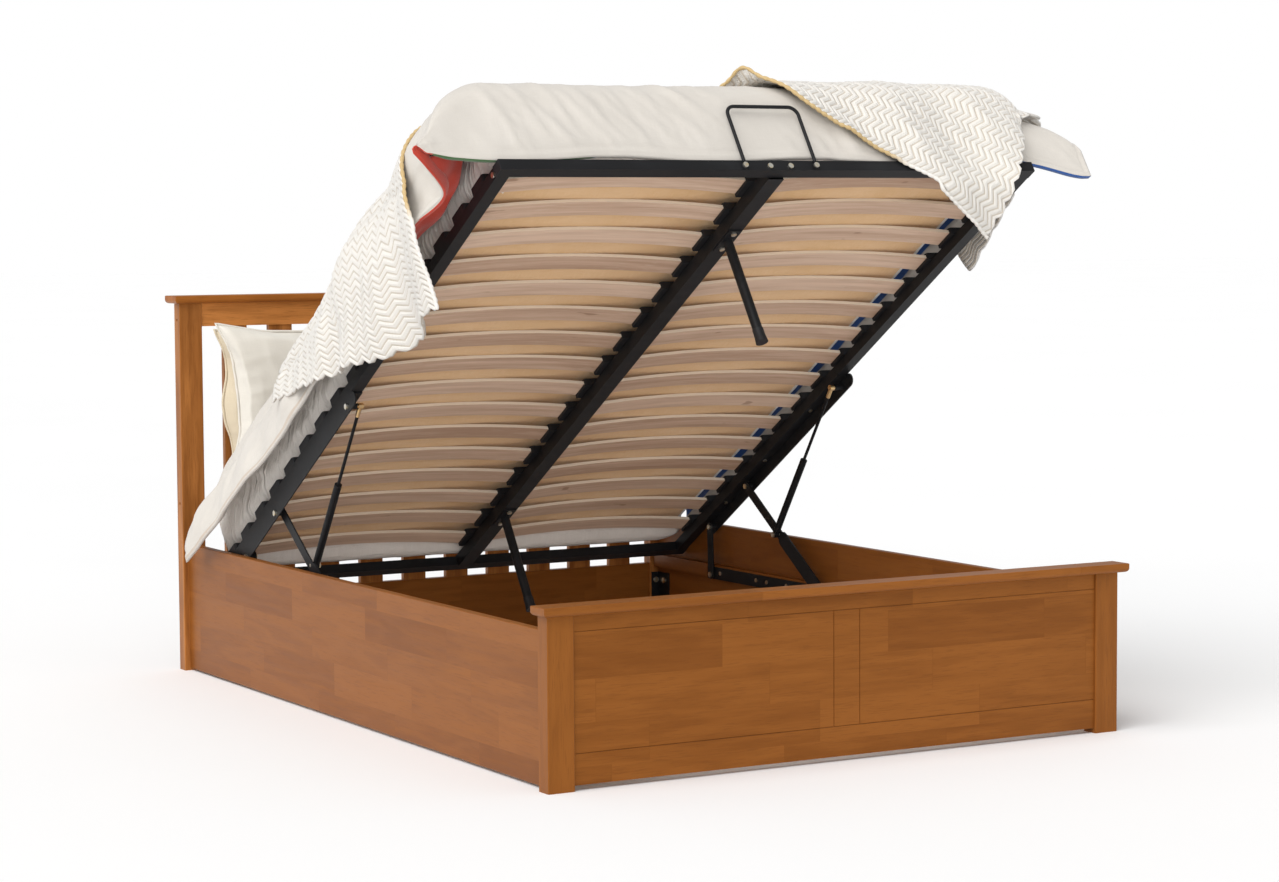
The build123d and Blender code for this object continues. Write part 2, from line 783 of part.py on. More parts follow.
def deck_slat(grow):
    """One sprung slat of the right column, arched across, grown all round for its socket."""
    inner = slat_inner_inset - grow
    outer = slat_outer + grow
    middle = (inner + outer) / 2
    low = slat_seat - grow
    high = slat_seat + deck_slat_thickness + grow
    under = ThreePointArc((inner, low), (middle, low + deck_slat_rise), (outer, low))
    over = ThreePointArc((inner, high), (middle, high + deck_slat_rise), (outer, high))
    sides = [Line((inner, low), (inner, high)), Line((outer, low), (outer, high))]
    face = make_face([under, over] + sides)
    width = deck_slat_width + 2 * grow
    solid = extrude(Plane.XZ * face, -width)
    return Pos(0, first_slat_edge - grow, 0) * solid


def rounded_block(low, high, radius):
    """A box with its upright edges rounded."""
    return fillet(block(low, high).edges().filter_by(Axis.Z), radius)


def slats_and_holders():
    """Two columns of arched slats in their plastic holders."""
    slat = deck_slat(0)
    slat = fillet(slat.edges().filter_by(Axis.Y), slat_edge_round)
    socket = deck_slat(holder_fit)
    middle = first_slat_edge + deck_slat_width / 2
    low_u = middle - holder_length / 2
    high_u = middle + holder_length / 2
    side_holder = rounded_block(
        (deck_half_width - holder_width, low_u, 0), (deck_half_width, high_u, holder_height), holder_round)
    side_holder -= socket
    half = centre_holder_width / 2
    centre_holder = rounded_block((-half, low_u, 0), (half, high_u, holder_height), holder_round)
    centre_holder = centre_holder - socket - mirrored(socket)
    steps = [Pos(0, index * deck_slat_pitch, 0) for index in range(deck_slat_count)]
    save_pair("deck_slats", Compound([deck_frame * step * slat for step in steps]))
    save_pair("slat_holders", Compound([deck_frame * step * side_holder for step in steps]))
    save("slat_holders_centre", *[deck_frame * step * centre_holder for step in steps])


def handle_hoop():
    """A bent wire hoop on the foot tube that keeps the mattress in place and lifts the platform."""
    low = -hoop_foot_drop
    centre_u = -hoop_wire_radius
    points = [
        (-hoop_half_width, centre_u, low),
        (-hoop_half_width, centre_u, hoop_height),
        (hoop_half_width, centre_u, hoop_height),
        (hoop_half_width, centre_u, low),
    ]
    path = FilletPolyline(*points, radius=hoop_corner)
    wire_end = Plane(origin=points[0], z_dir=(0, 0, 1)) * Circle(hoop_wire_radius)
    hoop = sweep(wire_end, path=path)
    for side in (-1, 1):
        x = side * hoop_half_width
        hoop += bar_y(x, low, -hoop_pad_thickness, 0, hoop_pad_radius)
    for side in (-1, 1):
        x = side * hoop_half_width
        hoop -= block(
            (x - hoop_pad_radius, -2 * hoop_wire_radius - overrun, low - hoop_pad_radius),
            (x + hoop_pad_radius, -hoop_pad_thickness, low + hoop_pad_radius),
        )
        hoop -= bar_y(x, low, -2 * hoop_wire_radius, overrun, deck_bolt_radius + running_fit)
    save("handle_hoop", deck_frame * hoop)

    bolts = []
    for x in foot_bolt_xs:
        face = -hoop_pad_thickness if abs(x) == hoop_half_width else 0
        head = bar_y(x, deck_bolt_level, face - deck_bolt_head_height, face, deck_bolt_head)
        bolts.append(head + bar_y(x, deck_bolt_level, face, deck_bolt_reach, deck_bolt_radius))
    for side in (-1, 1):
        face = side * deck_half_width
        head_end = face + side * deck_bolt_head_height
        tip = face - side * deck_bolt_reach
        head = rod_x(face, head_end, corner_bolt_u, deck_bolt_level, deck_bolt_head)
        bolts.append(head + rod_x(tip, face, corner_bolt_u, deck_bolt_level, deck_bolt_radius))
    save("deck_bolts", *[deck_frame * bolt for bolt in bolts])


def leg_bolt_us(leg_u):
    """Where along the platform a leg's two bolts stand."""
    return (leg_u - leg_bolt_spread / 2, leg_u + leg_bolt_spread / 2)


def centre_leg(leg_u):
    """A tube leg welded to its mounting plate, with its flared foot and two bolts."""
    plate_low = -beam_height - leg_plate_thickness
    foot_top = leg_tip + leg_foot_height
    tube = Pos(0, leg_u, 0) * round_z(leg_radius, leg_tip + leg_foot_sole, plate_low)
    tube -= Pos(0, leg_u, 0) * round_z(leg_radius - leg_wall, leg_tip, plate_low - leg_wall)
    plate = block(
        (-leg_plate_width / 2, leg_u - leg_plate_length / 2, plate_low),
        (leg_plate_width / 2, leg_u + leg_plate_length / 2, -beam_height),
    )
    leg = plate + tube
    bolts = []
    for u in leg_bolt_us(leg_u):
        leg -= Pos(0, u, 0) * round_z(deck_bolt_radius + running_fit, plate_low - overrun, -beam_height)
        bolt = Pos(0, u, 0) * round_z(deck_bolt_head, plate_low - deck_bolt_head_height, plate_low)
        bolt += Pos(0, u, 0) * round_z(deck_bolt_radius, plate_low, tube_wall - beam_height)
        bolts.append(deck_frame * bolt)
    flare = (foot_top - leg_tip) / 2
    cone = Pos(0, leg_u, leg_tip + flare / 2) * Cone(leg_foot_radius, leg_foot_neck, flare)
    foot = cone + Pos(0, leg_u, 0) * round_z(leg_foot_neck, leg_tip + flare, foot_top)
    socket = round_z(leg_radius + running_fit, leg_tip + leg_foot_sole, foot_top + overrun)
    foot -= Pos(0, leg_u, 0) * socket
    return deck_frame * leg, deck_frame * foot, bolts


def centre_legs():
    """The two legs under the centre beam."""
    foot_leg, foot_tip, foot_bolts = centre_leg(foot_leg_u)
    head_leg, head_tip, head_bolts = centre_leg(head_leg_u)
    save("centre_leg_foot_end", foot_leg)
    save("centre_leg_head_end", head_leg)
    save("centre_leg_feet", foot_tip, head_tip)
    save("centre_leg_bolts", *foot_bolts, *head_bolts)


def mattress():
    """A plain pad with rounded edges."""
    low = (-mattress_half, mattress_foot_u, mattress_bottom)
    high = (mattress_half, mattress_head_u, mattress_top)
    pad = fillet(block(low, high).edges(), mattress_edge)
    save("mattress", deck_frame * pad)


def cover_outline(station, offset, tail):
    """The outline of the bed covers seen along the bed, grown by an offset.

    A station gives, as shares, its place, the left hem's reach and level, the right hem's
    reach and level, and how far the top sinks at a rounded end."""
    place, left_reach, left_hem, right_reach, right_hem, sink = station
    edge = mattress_half + duvet_thickness
    spread = cover_reach - edge
    top = mattress_top + duvet_thickness + offset - sink * duvet_shoulder
    corner = duvet_shoulder * cover_corner_share
    halves = []
    for side, reach, hem in ((-1, left_reach, left_hem), (1, right_reach, right_hem)):
        hem_level = duvet_bottom + hem * cover_drop
        hem_x = side * (edge + reach * spread + offset)
        swell_x = side * (edge + reach * spread * swell_share + offset)
        half = [
            (hem_x, hem_level),
            (swell_x, (hem_level + mattress_top - duvet_shoulder) / 2),
            (side * (edge + offset), top - duvet_shoulder),
            (side * (edge + offset - corner), top - corner),
            (side * (edge + offset - duvet_shoulder), top),
            (side * edge / 2, top + duvet_crown * crown_side_share),
        ]
        if tail is not None:
            half.insert(0, (hem_x, tail))
        halves.append(half)
    return halves[0] + [(0, top + duvet_crown)] + halves[1][::-1]


def cover_form(offset, start, end, tail=None):
    """A closed form lofted through the cover outlines from foot to head."""
    faces = []
    for station in cover_stations_shares:
        u = mattress_foot_u + station[0] * (duvet_tip_u - mattress_foot_u)
        if station is cover_stations_shares[0]:
            u = start
        if station is cover_stations_shares[-1]:
            u = end
        points = cover_outline(station, offset, tail)
        faces.append(Pos(0, u, 0) * make_face(Plane.XZ * Polyline(*points, close=True)))
    return loft(faces, ruled=True)


def plan_prism(shares):
    """An upright prism over a plan polygon of the platform."""
    points = [(x * cover_reach, u * deck_length) for x, u in shares]
    outline = make_face(Polyline(*points, close=True))
    return Pos(0, 0, throw_left_hem - overrun) * extrude(outline, cover_depth)


def across_prism(points, x_from, x_to):
    """A prism along X over a polygon in u and w."""
    outline = make_face(Plane.YZ * Polyline(*points, close=True))
    return Pos(x_from, 0, 0) * extrude(outline, x_to - x_from, dir=(1, 0, 0))


def front_prism(points, u_from, u_to):
    """A prism along u over a polygon in x and w."""
    outline = make_face(Plane.XZ * Polyline(*points, close=True))
    return Pos(0, u_from, 0) * extrude(outline, u_to - u_from, dir=(0, 1, 0))


def duvet():
    """The cover over the mattress, with a strip at the left that passes outside the head post."""
    foot_start = mattress_foot_u - duvet_foot_thickness
    outer = cover_form(0, foot_start, duvet_tip_u)
    inner = cover_form(-duvet_thickness + seat_gap, mattress_foot_u - seat_gap, duvet_tip_u + overrun,
                       tail=throw_left_hem)
    cover = outer - inner
    high = mattress_top + cover_depth
    cover -= block(
        (duvet_side_band - mattress_half, duvet_head_u, throw_left_hem),
        (cover_reach + overrun, duvet_tip_u + 2 * overrun, high),
    )
    cover -= block(
        (-half_width - seat_gap, duvet_post_u, throw_left_hem),
        (0, duvet_tip_u + 2 * overrun, high),
    )
    tip_start = duvet_tip_u - duvet_tip_taper
    cover -= across_prism(
        [(tip_start, high), (tip_start, mattress_top - duvet_shoulder),
         (duvet_tip_u, duvet_bottom + duvet_tip_level), (duvet_tip_u + cover_depth, duvet_bottom),
         (duvet_tip_u + cover_depth, high)],
        -cover_reach - overrun, cover_reach + overrun,
    )
    save("duvet", deck_frame * cover)


def throw():
    """A knitted throw laid slantwise over the duvet, hanging at the left side and at the foot."""
    far = throw_gap + throw_thickness
    outer = cover_form(far, -far, duvet_tip_u, tail=throw_left_hem)
    inner = cover_form(throw_gap, -throw_gap, duvet_tip_u + overrun, tail=throw_left_hem - overrun)
    cloth = (outer - inner) & plan_prism(throw_plan_shares)
    low = throw_left_hem - 2 * overrun
    cloth -= across_prism(
        [(u * deck_length, w * mattress_top) for u, w in throw_side_shares],
        -cover_reach - cover_depth, -mattress_half,
    )
    cloth -= front_prism(
        [(x * cover_reach, w * mattress_top) for x, w in throw_front_shares],
        -far - overrun, throw_thickness,
    )
    tail_points = [(x * cover_reach, w * throw_tail_length) for x, w in throw_tail_shares]
    tail = front_prism(tail_points, -throw_thickness, 0)
    cloth += Pos(0, -throw_gap, throw_tail_start) * Rot(lift_angle, 0, 0) * tail
    save("throw", deck_frame * cloth)


def pillow_face(x, height, thickness):
    """A pillow's outline at one place along its width: two arcs that meet at the seams."""
    half = height / 2
    front = ThreePointArc((0, -half), (-thickness / 2, 0), (0, half))
    back = ThreePointArc((0, half), (thickness / 2, 0), (0, -half))
    return Pos(x, 0, 0) * make_face(Plane.YZ * Curve([front, back]))


def pillow():
    """A plump pillow, standing: full in the middle, drawn in between its four corners."""
    half = pillow_width / 2
    shoulder = half * pillow_shoulder_share
    shoulder_height = pillow_height * (1 + pillow_draw_share) / 2
    rows = [
        (-half, pillow_height, pillow_edge),
        (-shoulder, shoulder_height, pillow_thickness * pillow_shoulder_share),
        (0, pillow_height * pillow_draw_share, pillow_thickness),
        (shoulder, shoulder_height, pillow_thickness * pillow_shoulder_share),
        (half, pillow_height, pillow_edge),
    ]
    return loft([pillow_face(*row) for row in rows])


def pillows():
    """Two pillows on each side of the middle, one in front of the other."""
    shape = pillow()
    middle = pillow_height / 2
    rows = (("back", back_pillow_y, back_pillow_base), ("front", front_pillow_y, front_pillow_base))
    for name, y, base in rows:
        save_pair("pillow_" + name, Pos(pillow_centre_x, y, base + middle) * shape)


# Pivot places shared by the mechanism's pieces
base_pivots = ((front_pivot_y, front_pivot_z), (rear_pivot_y, rear_pivot_z))
platform_joints = (
    (rear_joint_u, rear_joint_w), (front_joint_u, front_joint_w), (strut_joint_u, strut_joint_w))
rear_joint, front_joint, strut_top = [deck_point(u, w) for u, w in platform_joints]
strut_foot = between(base_pivots[0], front_joint, strut_foot_share)
strut_pin_end = strut_x + fork_pin_width / 2
foot_bolt_xs = (-hoop_half_width, -bracket_bolt_x, bracket_bolt_x, hoop_half_width)

os.makedirs("parts", exist_ok=True)
footboard()
headboard()
side_rails()
corner_fittings()
base_mechanism()
links()
gas_struts()
platform_mechanism()
deck_tubes()
slats_and_holders()
handle_hoop()
centre_legs()
mattress()
duvet()
throw()
pillows()
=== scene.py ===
"""Ottoman storage bed: bedding, finishes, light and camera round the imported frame.

Lengths are metres. The platform's own frame has x across, u from the foot tube towards the
head and w up from its tubes; platform_to_bed turns it into the bed's frame.
"""
import math

import bpy
import numpy as np
from bpy.props import FloatProperty, FloatVectorProperty, PointerProperty
from mathutils import Matrix, Vector


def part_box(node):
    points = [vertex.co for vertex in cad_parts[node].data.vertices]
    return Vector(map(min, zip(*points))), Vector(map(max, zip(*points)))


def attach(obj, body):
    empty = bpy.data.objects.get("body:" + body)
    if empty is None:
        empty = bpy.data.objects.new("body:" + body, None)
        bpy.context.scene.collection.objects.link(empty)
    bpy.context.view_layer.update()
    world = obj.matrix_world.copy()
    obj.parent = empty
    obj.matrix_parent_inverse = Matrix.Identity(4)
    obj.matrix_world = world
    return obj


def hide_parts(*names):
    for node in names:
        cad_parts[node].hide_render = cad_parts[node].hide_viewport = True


bl_info = {
    "name": "Ottoman Storage Bed",
    "version": (1, 0, 0),
    "blender": (4, 5, 0),
    "location": "View3D > Sidebar > Ottoman Bed",
    "description": "Builds the bedding, finishes and studio of an ottoman storage bed",
    "category": "Object",
}

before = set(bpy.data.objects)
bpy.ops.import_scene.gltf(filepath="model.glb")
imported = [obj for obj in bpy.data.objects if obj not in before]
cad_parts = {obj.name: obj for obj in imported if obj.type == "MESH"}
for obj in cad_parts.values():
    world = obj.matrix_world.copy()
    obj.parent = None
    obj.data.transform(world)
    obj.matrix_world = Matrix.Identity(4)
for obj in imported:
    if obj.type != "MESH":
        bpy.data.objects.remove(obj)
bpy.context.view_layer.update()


def length_setting(name, default, description):
    """A length in metres."""
    return FloatProperty(name=name, default=default, description=description, unit="LENGTH")


def angle_setting(name, degrees, description):
    """An angle, given in degrees."""
    return FloatProperty(name=name, default=math.radians(degrees), description=description,
                         unit="ROTATION")


def share_setting(name, default, description):
    """A share from nought to one."""
    return FloatProperty(name=name, default=default, description=description, subtype="FACTOR",
                         min=0.0, max=1.0)


def colour_setting(name, default, description):
    """A linear colour."""
    return FloatVectorProperty(name=name, default=default, description=description, subtype="COLOR",
                               size=3, min=0.0, max=1.0)


class BedPlatform(bpy.types.PropertyGroup):
    """Where the lifted platform stands."""
    tilt: angle_setting("Tilt", 32.9, "Angle of the platform to the floor")
    foot_y: length_setting("Foot Y", -0.7453, "Place of the foot tube along the bed")
    foot_z: length_setting("Foot Z", 1.2895, "Height of the foot tube's top")


class BedMattress(bpy.types.PropertyGroup):
    """The mattress and its fitted sheet."""
    half_width: length_setting("Half width", 0.675, "Half of the mattress's width")
    foot: length_setting("Foot end", 0.026, "Foot end, from the foot tube's face")
    head: length_setting("Head end", 1.893, "Head end, from the foot tube's face")
    bottom: length_setting("Bottom", 0.0323, "Underside above the tubes")
    top: length_setting("Top", 0.2143, "Top above the tubes")
    edge: length_setting("Edge", 0.050, "Radius of the edges")
    piping: length_setting("Piping", 0.004, "Radius of the piping along the edges")
    ticking: colour_setting("Ticking", (0.74, 0.47, 0.235), "Woven underside")
    sheet: colour_setting("Sheet", (0.84, 0.79, 0.73), "Fitted sheet")


class BedDuvet(bpy.types.PropertyGroup):
    """The duvet over the mattress."""
    thickness: length_setting("Thickness", 0.016, "Thickness of the duvet")
    top: length_setting("Top", 0.2363, "Height of its top above the tubes")
    crown: length_setting("Crown", 0.014, "How much higher its middle is")
    flat_half: length_setting("Flat half width", 0.647, "Half width of its flat top")
    shoulder: length_setting("Shoulder", 0.05, "Radius of its side edges")
    corner_round: length_setting("Corner", 0.090, "How much rounder the left foot corner is")
    foot_face: length_setting("Foot face", 0.009, "Where its foot end hangs, from the foot tube's face")
    foot_round: length_setting("Foot edge", 0.075, "Radius of its foot edge")
    foot_hem: length_setting("Foot hem", 0.010, "Height of its foot hem above the tubes")
    hem_line: length_setting("Hem line", 0.269, "Length of cloth from the top to the foot hem")
    head: length_setting("Head end", 1.56, "Where its top ends, from the foot tube's face")
    colour: colour_setting("Cotton", (0.62, 0.58, 0.525), "Outer cotton")
    seam: colour_setting("Seam", (0.42, 0.27, 0.15), "Seam along the left hem")
    navy: colour_setting("Reverse, navy", (0.012, 0.085, 0.33), "Reverse at the right")
    red: colour_setting("Reverse, red", (0.55, 0.045, 0.02), "Reverse at the left foot corner")
    green: colour_setting("Reverse, green", (0.05, 0.13, 0.04), "Reverse at the foot")


class BedThrow(bpy.types.PropertyGroup):
    """The knitted throw."""
    length: length_setting("Length", 1.87, "Length along its cord edge")
    width: length_setting("Width", 1.10, "Width across")
    thickness: length_setting("Thickness", 0.005, "Thickness of the knit")
    rib: length_setting("Rib pitch", 0.0155, "Distance between two ribs")
    zigzag: length_setting("Zigzag period", 0.058, "Length of one zigzag")
    swing: length_setting("Zigzag swing", 0.0085, "How far a zigzag swings to each side")
    relief: length_setting("Rib height", 0.0050, "Height of the ribs")
    wool: colour_setting("Wool", (0.785, 0.755, 0.705), "Wool")
    cord: colour_setting("Cord", (0.53, 0.35, 0.11), "Crocheted edge")


class BedPillows(bpy.types.PropertyGroup):
    """The four pillows."""
    start_share: share_setting("Start", 0.62, "Thickness before the stuffing swells, as a share")
    pressure: FloatProperty(name="Pressure", default=2.0, description="Stuffing pressure")
    swell: length_setting("Swell", 0.018, "How far a point may move while the pillow swells")
    draw_in: share_setting("Draw-in", 0.055, "How far a seam's middle is drawn in, as a share")
    apart: length_setting("Apart", 0.028, "How far the front pillows lie outwards")
    lean: length_setting("Lean", 0.020, "How far the front pillows' outer sides lean in")
    sag: length_setting("Sag", 0.016, "How far the back pillows' outer sides sag out")
    front: colour_setting("Front pillow", (0.71, 0.67, 0.597), "Front pillow's cotton")
    back: colour_setting("Back pillow", (0.64, 0.55, 0.40), "Back pillow's cotton")


class BedTimber(bpy.types.PropertyGroup):
    """The stained timber and the slats."""
    light: colour_setting("Light board", (0.262, 0.090, 0.0175), "Lightest board")
    dark: colour_setting("Dark board", (0.175, 0.055, 0.0098), "Darkest board")
    pale: colour_setting("Pale board", (0.50, 0.198, 0.053), "Lightest board of the headboard")
    pale_dark: colour_setting("Pale board, dark", (0.19, 0.062, 0.0135), "Darkest board of the headboard")
    board_length: length_setting("Board length", 0.42, "Length of a finger-jointed board")
    board_width: length_setting("Board width", 0.075, "Width of a finger-jointed board")
    birch: colour_setting("Birch", (0.62, 0.45, 0.335), "Slat face")
    birch_edge: colour_setting("Birch edge", (0.80, 0.69, 0.56), "Slat edge")


class BedStudio(bpy.types.PropertyGroup):
    """Camera, floor and light."""
    lens: FloatProperty(name="Lens", default=85.08, description="Focal length in millimetres")
    yaw: angle_setting("Yaw", 29.804, "Turn of the view to the right of the bed's length")
    pitch: angle_setting("Pitch", 4.163, "Dip of the view below the horizon")
    roll: angle_setting("Roll", -0.336, "Roll of the view")
    place: FloatVectorProperty(name="Place", default=(-3.577, -6.370, 1.159), size=3,
                               description="Camera place", subtype="TRANSLATION")
    floor_size: length_setting("Floor", 120.0, "Side of the floor")
    ambient: FloatProperty(name="Ambient", default=0.50, description="Strength of the light all round")
    key_power: FloatProperty(name="Key light", default=2.45, description="Strength of the main light")
    fill_power: FloatProperty(name="Fill light", default=0.85,
                              description="Strength of the low front light")
    key_softness: angle_setting("Key softness", 55.0, "Width of the main light in the sky")
    key_from: FloatVectorProperty(name="Key from", default=(-0.80, -0.34, 0.85), size=3,
                                  description="Where the main light comes from", subtype="DIRECTION")


SETTINGS = {
    "bed_platform": BedPlatform,
    "bed_mattress": BedMattress,
    "bed_duvet": BedDuvet,
    "bed_throw": BedThrow,
    "bed_pillows": BedPillows,
    "bed_timber": BedTimber,
    "bed_studio": BedStudio,
}


TUBE_SIDES = 8
THICKNESS_STEPS = 12
# One over tau, for a weave of one wave for each thread
ONE_TURN = 0.159
# Sets of creases: seed, count, length, height, lean and spread
GATHERS = (11, 6, 0.11, 0.013, 0.6, 0.3)
FINE_GATHERS = (12, 5, 0.035, 0.004, 0.75, 0.3)
TOP_CREASES = (21, 5, 0.30, 0.006, 0.5, 0.7)
FOOT_FOLDS = (33, 7, 0.10, 0.0052, 0.55, 0.28)
FINE_FOOT_FOLDS = (35, 5, 0.035, 0.0016, 0.7, 0.4)
SIDE_CREASES = (37, 5, 0.06, 0.004, 0.9, 0.4)
THROW_CREASES = (47, 4, 0.28, 0.005, 0.2, 0.5)
# The same for the pillows, whose seeds count up from the first
PILLOW_SEED = 60
PILLOW_CREASES = (6, 0.07, 0.0045, 1.2, 0.9)


def smoothstep(value, low, high):
    """Nought below low, one above high, and 3t^2 - 2t^3 between."""
    t = np.clip((value - low) / (high - low), 0.0, 1.0)
    return t * t * (3.0 - 2.0 * t)


def bump(value, centre, width):
    """A bell curve: exp(-((value - centre) / width)^2)."""
    return np.exp(-((value - centre) / width) ** 2)


def spline_values(places, knots, values):
    """Values at places on the Catmull-Rom curve through (knots, values)."""
    knots = np.asarray(knots, float)
    values = np.asarray(values, float)
    slopes = np.gradient(values, knots)
    places = np.clip(places, knots[0], knots[-1])
    index = np.clip(np.searchsorted(knots, places, side="right") - 1, 0, len(knots) - 2)
    span = knots[index + 1] - knots[index]
    t = (places - knots[index]) / span
    t2 = t * t
    t3 = t2 * t
    return ((2 * t3 - 3 * t2 + 1) * values[index] + (t3 - 2 * t2 + t) * span * slopes[index]
            + (3 * t2 - 2 * t3) * values[index + 1] + (t3 - t2) * span * slopes[index + 1])


def creases(across, along, seed, count, length, height, lean, spread):
    """Wrinkles: a sum of count slanted waves, each height * (1 - |sin|)^2 with its own phase.

    The waves are about length apart. Their crests lean from the along direction by lean,
    give or take spread, and a slow wave fades each in and out."""
    draw = np.random.default_rng(seed)
    total = np.zeros(np.broadcast(across, along).shape)
    for _ in range(count):
        angle = lean + draw.normal() * spread
        pitch = length * draw.uniform(0.7, 1.5)
        phase = draw.uniform(0.0, math.tau)
        fade_phase = draw.uniform(0.0, math.tau)
        side = across * math.cos(angle) + along * math.sin(angle)
        run = along * math.cos(angle) - across * math.sin(angle)
        bend = 0.35 * np.sin(run * math.pi / (2.2 * length) + fade_phase)
        ridge = (1.0 - np.abs(np.sin(side * math.pi / pitch + phase + bend))) ** 2
        fade = 0.5 + 0.5 * np.sin(run * math.pi / (1.7 * length) + side * 3.0 + fade_phase)
        total += height * draw.uniform(0.5, 1.0) * ridge * fade
    return total


def platform_to_bed(points):
    """Turn (x, u, w) into the bed's frame: a turn about X by the tilt, then a shift."""
    pose = bpy.context.scene.bed_platform
    cos_tilt = math.cos(pose.tilt)
    sin_tilt = math.sin(pose.tilt)
    x, u, w = np.moveaxis(np.asarray(points, float), -1, 0)
    y = pose.foot_y + u * cos_tilt + w * sin_tilt
    z = pose.foot_z - u * sin_tilt + w * cos_tilt
    return np.stack([x, y, z], axis=-1)


def bed_to_platform(points):
    """Turn points of the bed's frame back into (x, u, w)."""
    pose = bpy.context.scene.bed_platform
    cos_tilt = math.cos(pose.tilt)
    sin_tilt = math.sin(pose.tilt)
    x, y, z = np.moveaxis(np.asarray(points, float), -1, 0)
    u = (y - pose.foot_y) * cos_tilt - (z - pose.foot_z) * sin_tilt
    w = (y - pose.foot_y) * sin_tilt + (z - pose.foot_z) * cos_tilt
    return np.stack([x, u, w], axis=-1)


def unit(vectors):
    """The vectors, each scaled to length one."""
    size = np.linalg.norm(vectors, axis=-1, keepdims=True)
    return vectors / np.maximum(size, 1e-12)


def grid_normals(points):
    """Unit normals of a grid: the cross product of its two slopes."""
    return unit(np.cross(np.gradient(points, axis=0), np.gradient(points, axis=1)))


def blurred(field, times):
    """Unit vectors of a grid in which each was averaged with its neighbours again and again."""
    for _ in range(times):
        padded = np.pad(field, ((1, 1), (1, 1), (0, 0)), mode="edge")
        beside = padded[:-2, 1:-1] + padded[2:, 1:-1] + padded[1:-1, :-2] + padded[1:-1, 2:]
        field = (beside + field * 2) / 6
    return unit(field)


def grid_faces(rows, columns, wrap=False):
    """The quads of a grid, as rows of four corner numbers."""
    row = np.arange(rows - 1)[:, None]
    column = np.arange(columns if wrap else columns - 1)[None, :]
    after = (column + 1) % columns
    corners = [row * columns + column, row * columns + after,
               (row + 1) * columns + after, (row + 1) * columns + column]
    return np.stack(corners, axis=-1).reshape(-1, 4)


def tube_rings(line, first, second, radius):
    """Rings of points round a line, each in the plane of its two unit vectors."""
    angle = np.linspace(0.0, math.tau, TUBE_SIDES + 1)[:-1, None]
    return line[:, None] + (first[:, None] * np.cos(angle) + second[:, None] * np.sin(angle)) * radius


def mesh_piece(name, points, faces, uv=None, more_faces=()):
    """A smooth-shaded mesh object from arrays of points, quads and uv per point.

    More faces, of any number of corners, come as lists."""
    mesh = bpy.data.meshes.new(name)
    mesh.from_pydata(points.reshape(-1, 3).tolist(), [], faces.tolist() + list(more_faces))
    mesh.polygons.foreach_set("use_smooth", np.ones(len(mesh.polygons), bool))
    if uv is not None:
        corner = np.empty(len(mesh.loops), np.int32)
        mesh.loops.foreach_get("vertex_index", corner)
        layer = mesh.uv_layers.new(name="UVMap")
        layer.data.foreach_set("uv", uv.reshape(-1, 2)[corner].astype(np.float32).ravel())
    mesh.update()
    piece = bpy.data.objects.new(name, mesh)
    bpy.context.scene.collection.objects.link(piece)
    return piece


def grid_piece(name, points, uv, flip=False):
    """A grid of points as a mesh piece."""
    faces = grid_faces(points.shape[0], points.shape[1])
    if flip:
        faces = faces[:, ::-1]
    return mesh_piece(name, points, faces, uv)


def read_points(vertices):
    """The places of vertices as an array."""
    points = np.empty(len(vertices) * 3, np.float32)
    vertices.foreach_get("co", points)
    return points.reshape(-1, 3).astype(float)


def write_points(piece, points):
    """Move a piece's vertices to the points of an array."""
    piece.data.vertices.foreach_set("co", points.astype(np.float32).ravel())
    piece.data.update()


def give_thickness(piece, thickness, shares=None):
    """Turn a surface into a closed cloth, thinner where shares say so.

    The shares, one for each point, are rounded to a few steps for the vertex group."""
    modifier = piece.modifiers.new("Thickness", "SOLIDIFY")
    modifier.thickness = thickness
    modifier.offset = -1.0
    modifier.use_rim = True
    if shares is None:
        return
    group = piece.vertex_groups.new(name="thickness")
    steps = np.round(np.clip(shares, 0.0, 1.0).ravel() * THICKNESS_STEPS).astype(int)
    for step in range(1, THICKNESS_STEPS + 1):
        group.add(np.flatnonzero(steps == step).tolist(), step / THICKNESS_STEPS, "REPLACE")
    modifier.vertex_group = group.name


def put_on(piece, body, slot, *replaced):
    """Ride and replace in one call. The slot is not used."""
    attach(piece, body)
    if replaced:
        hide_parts(*replaced)


# Shaders


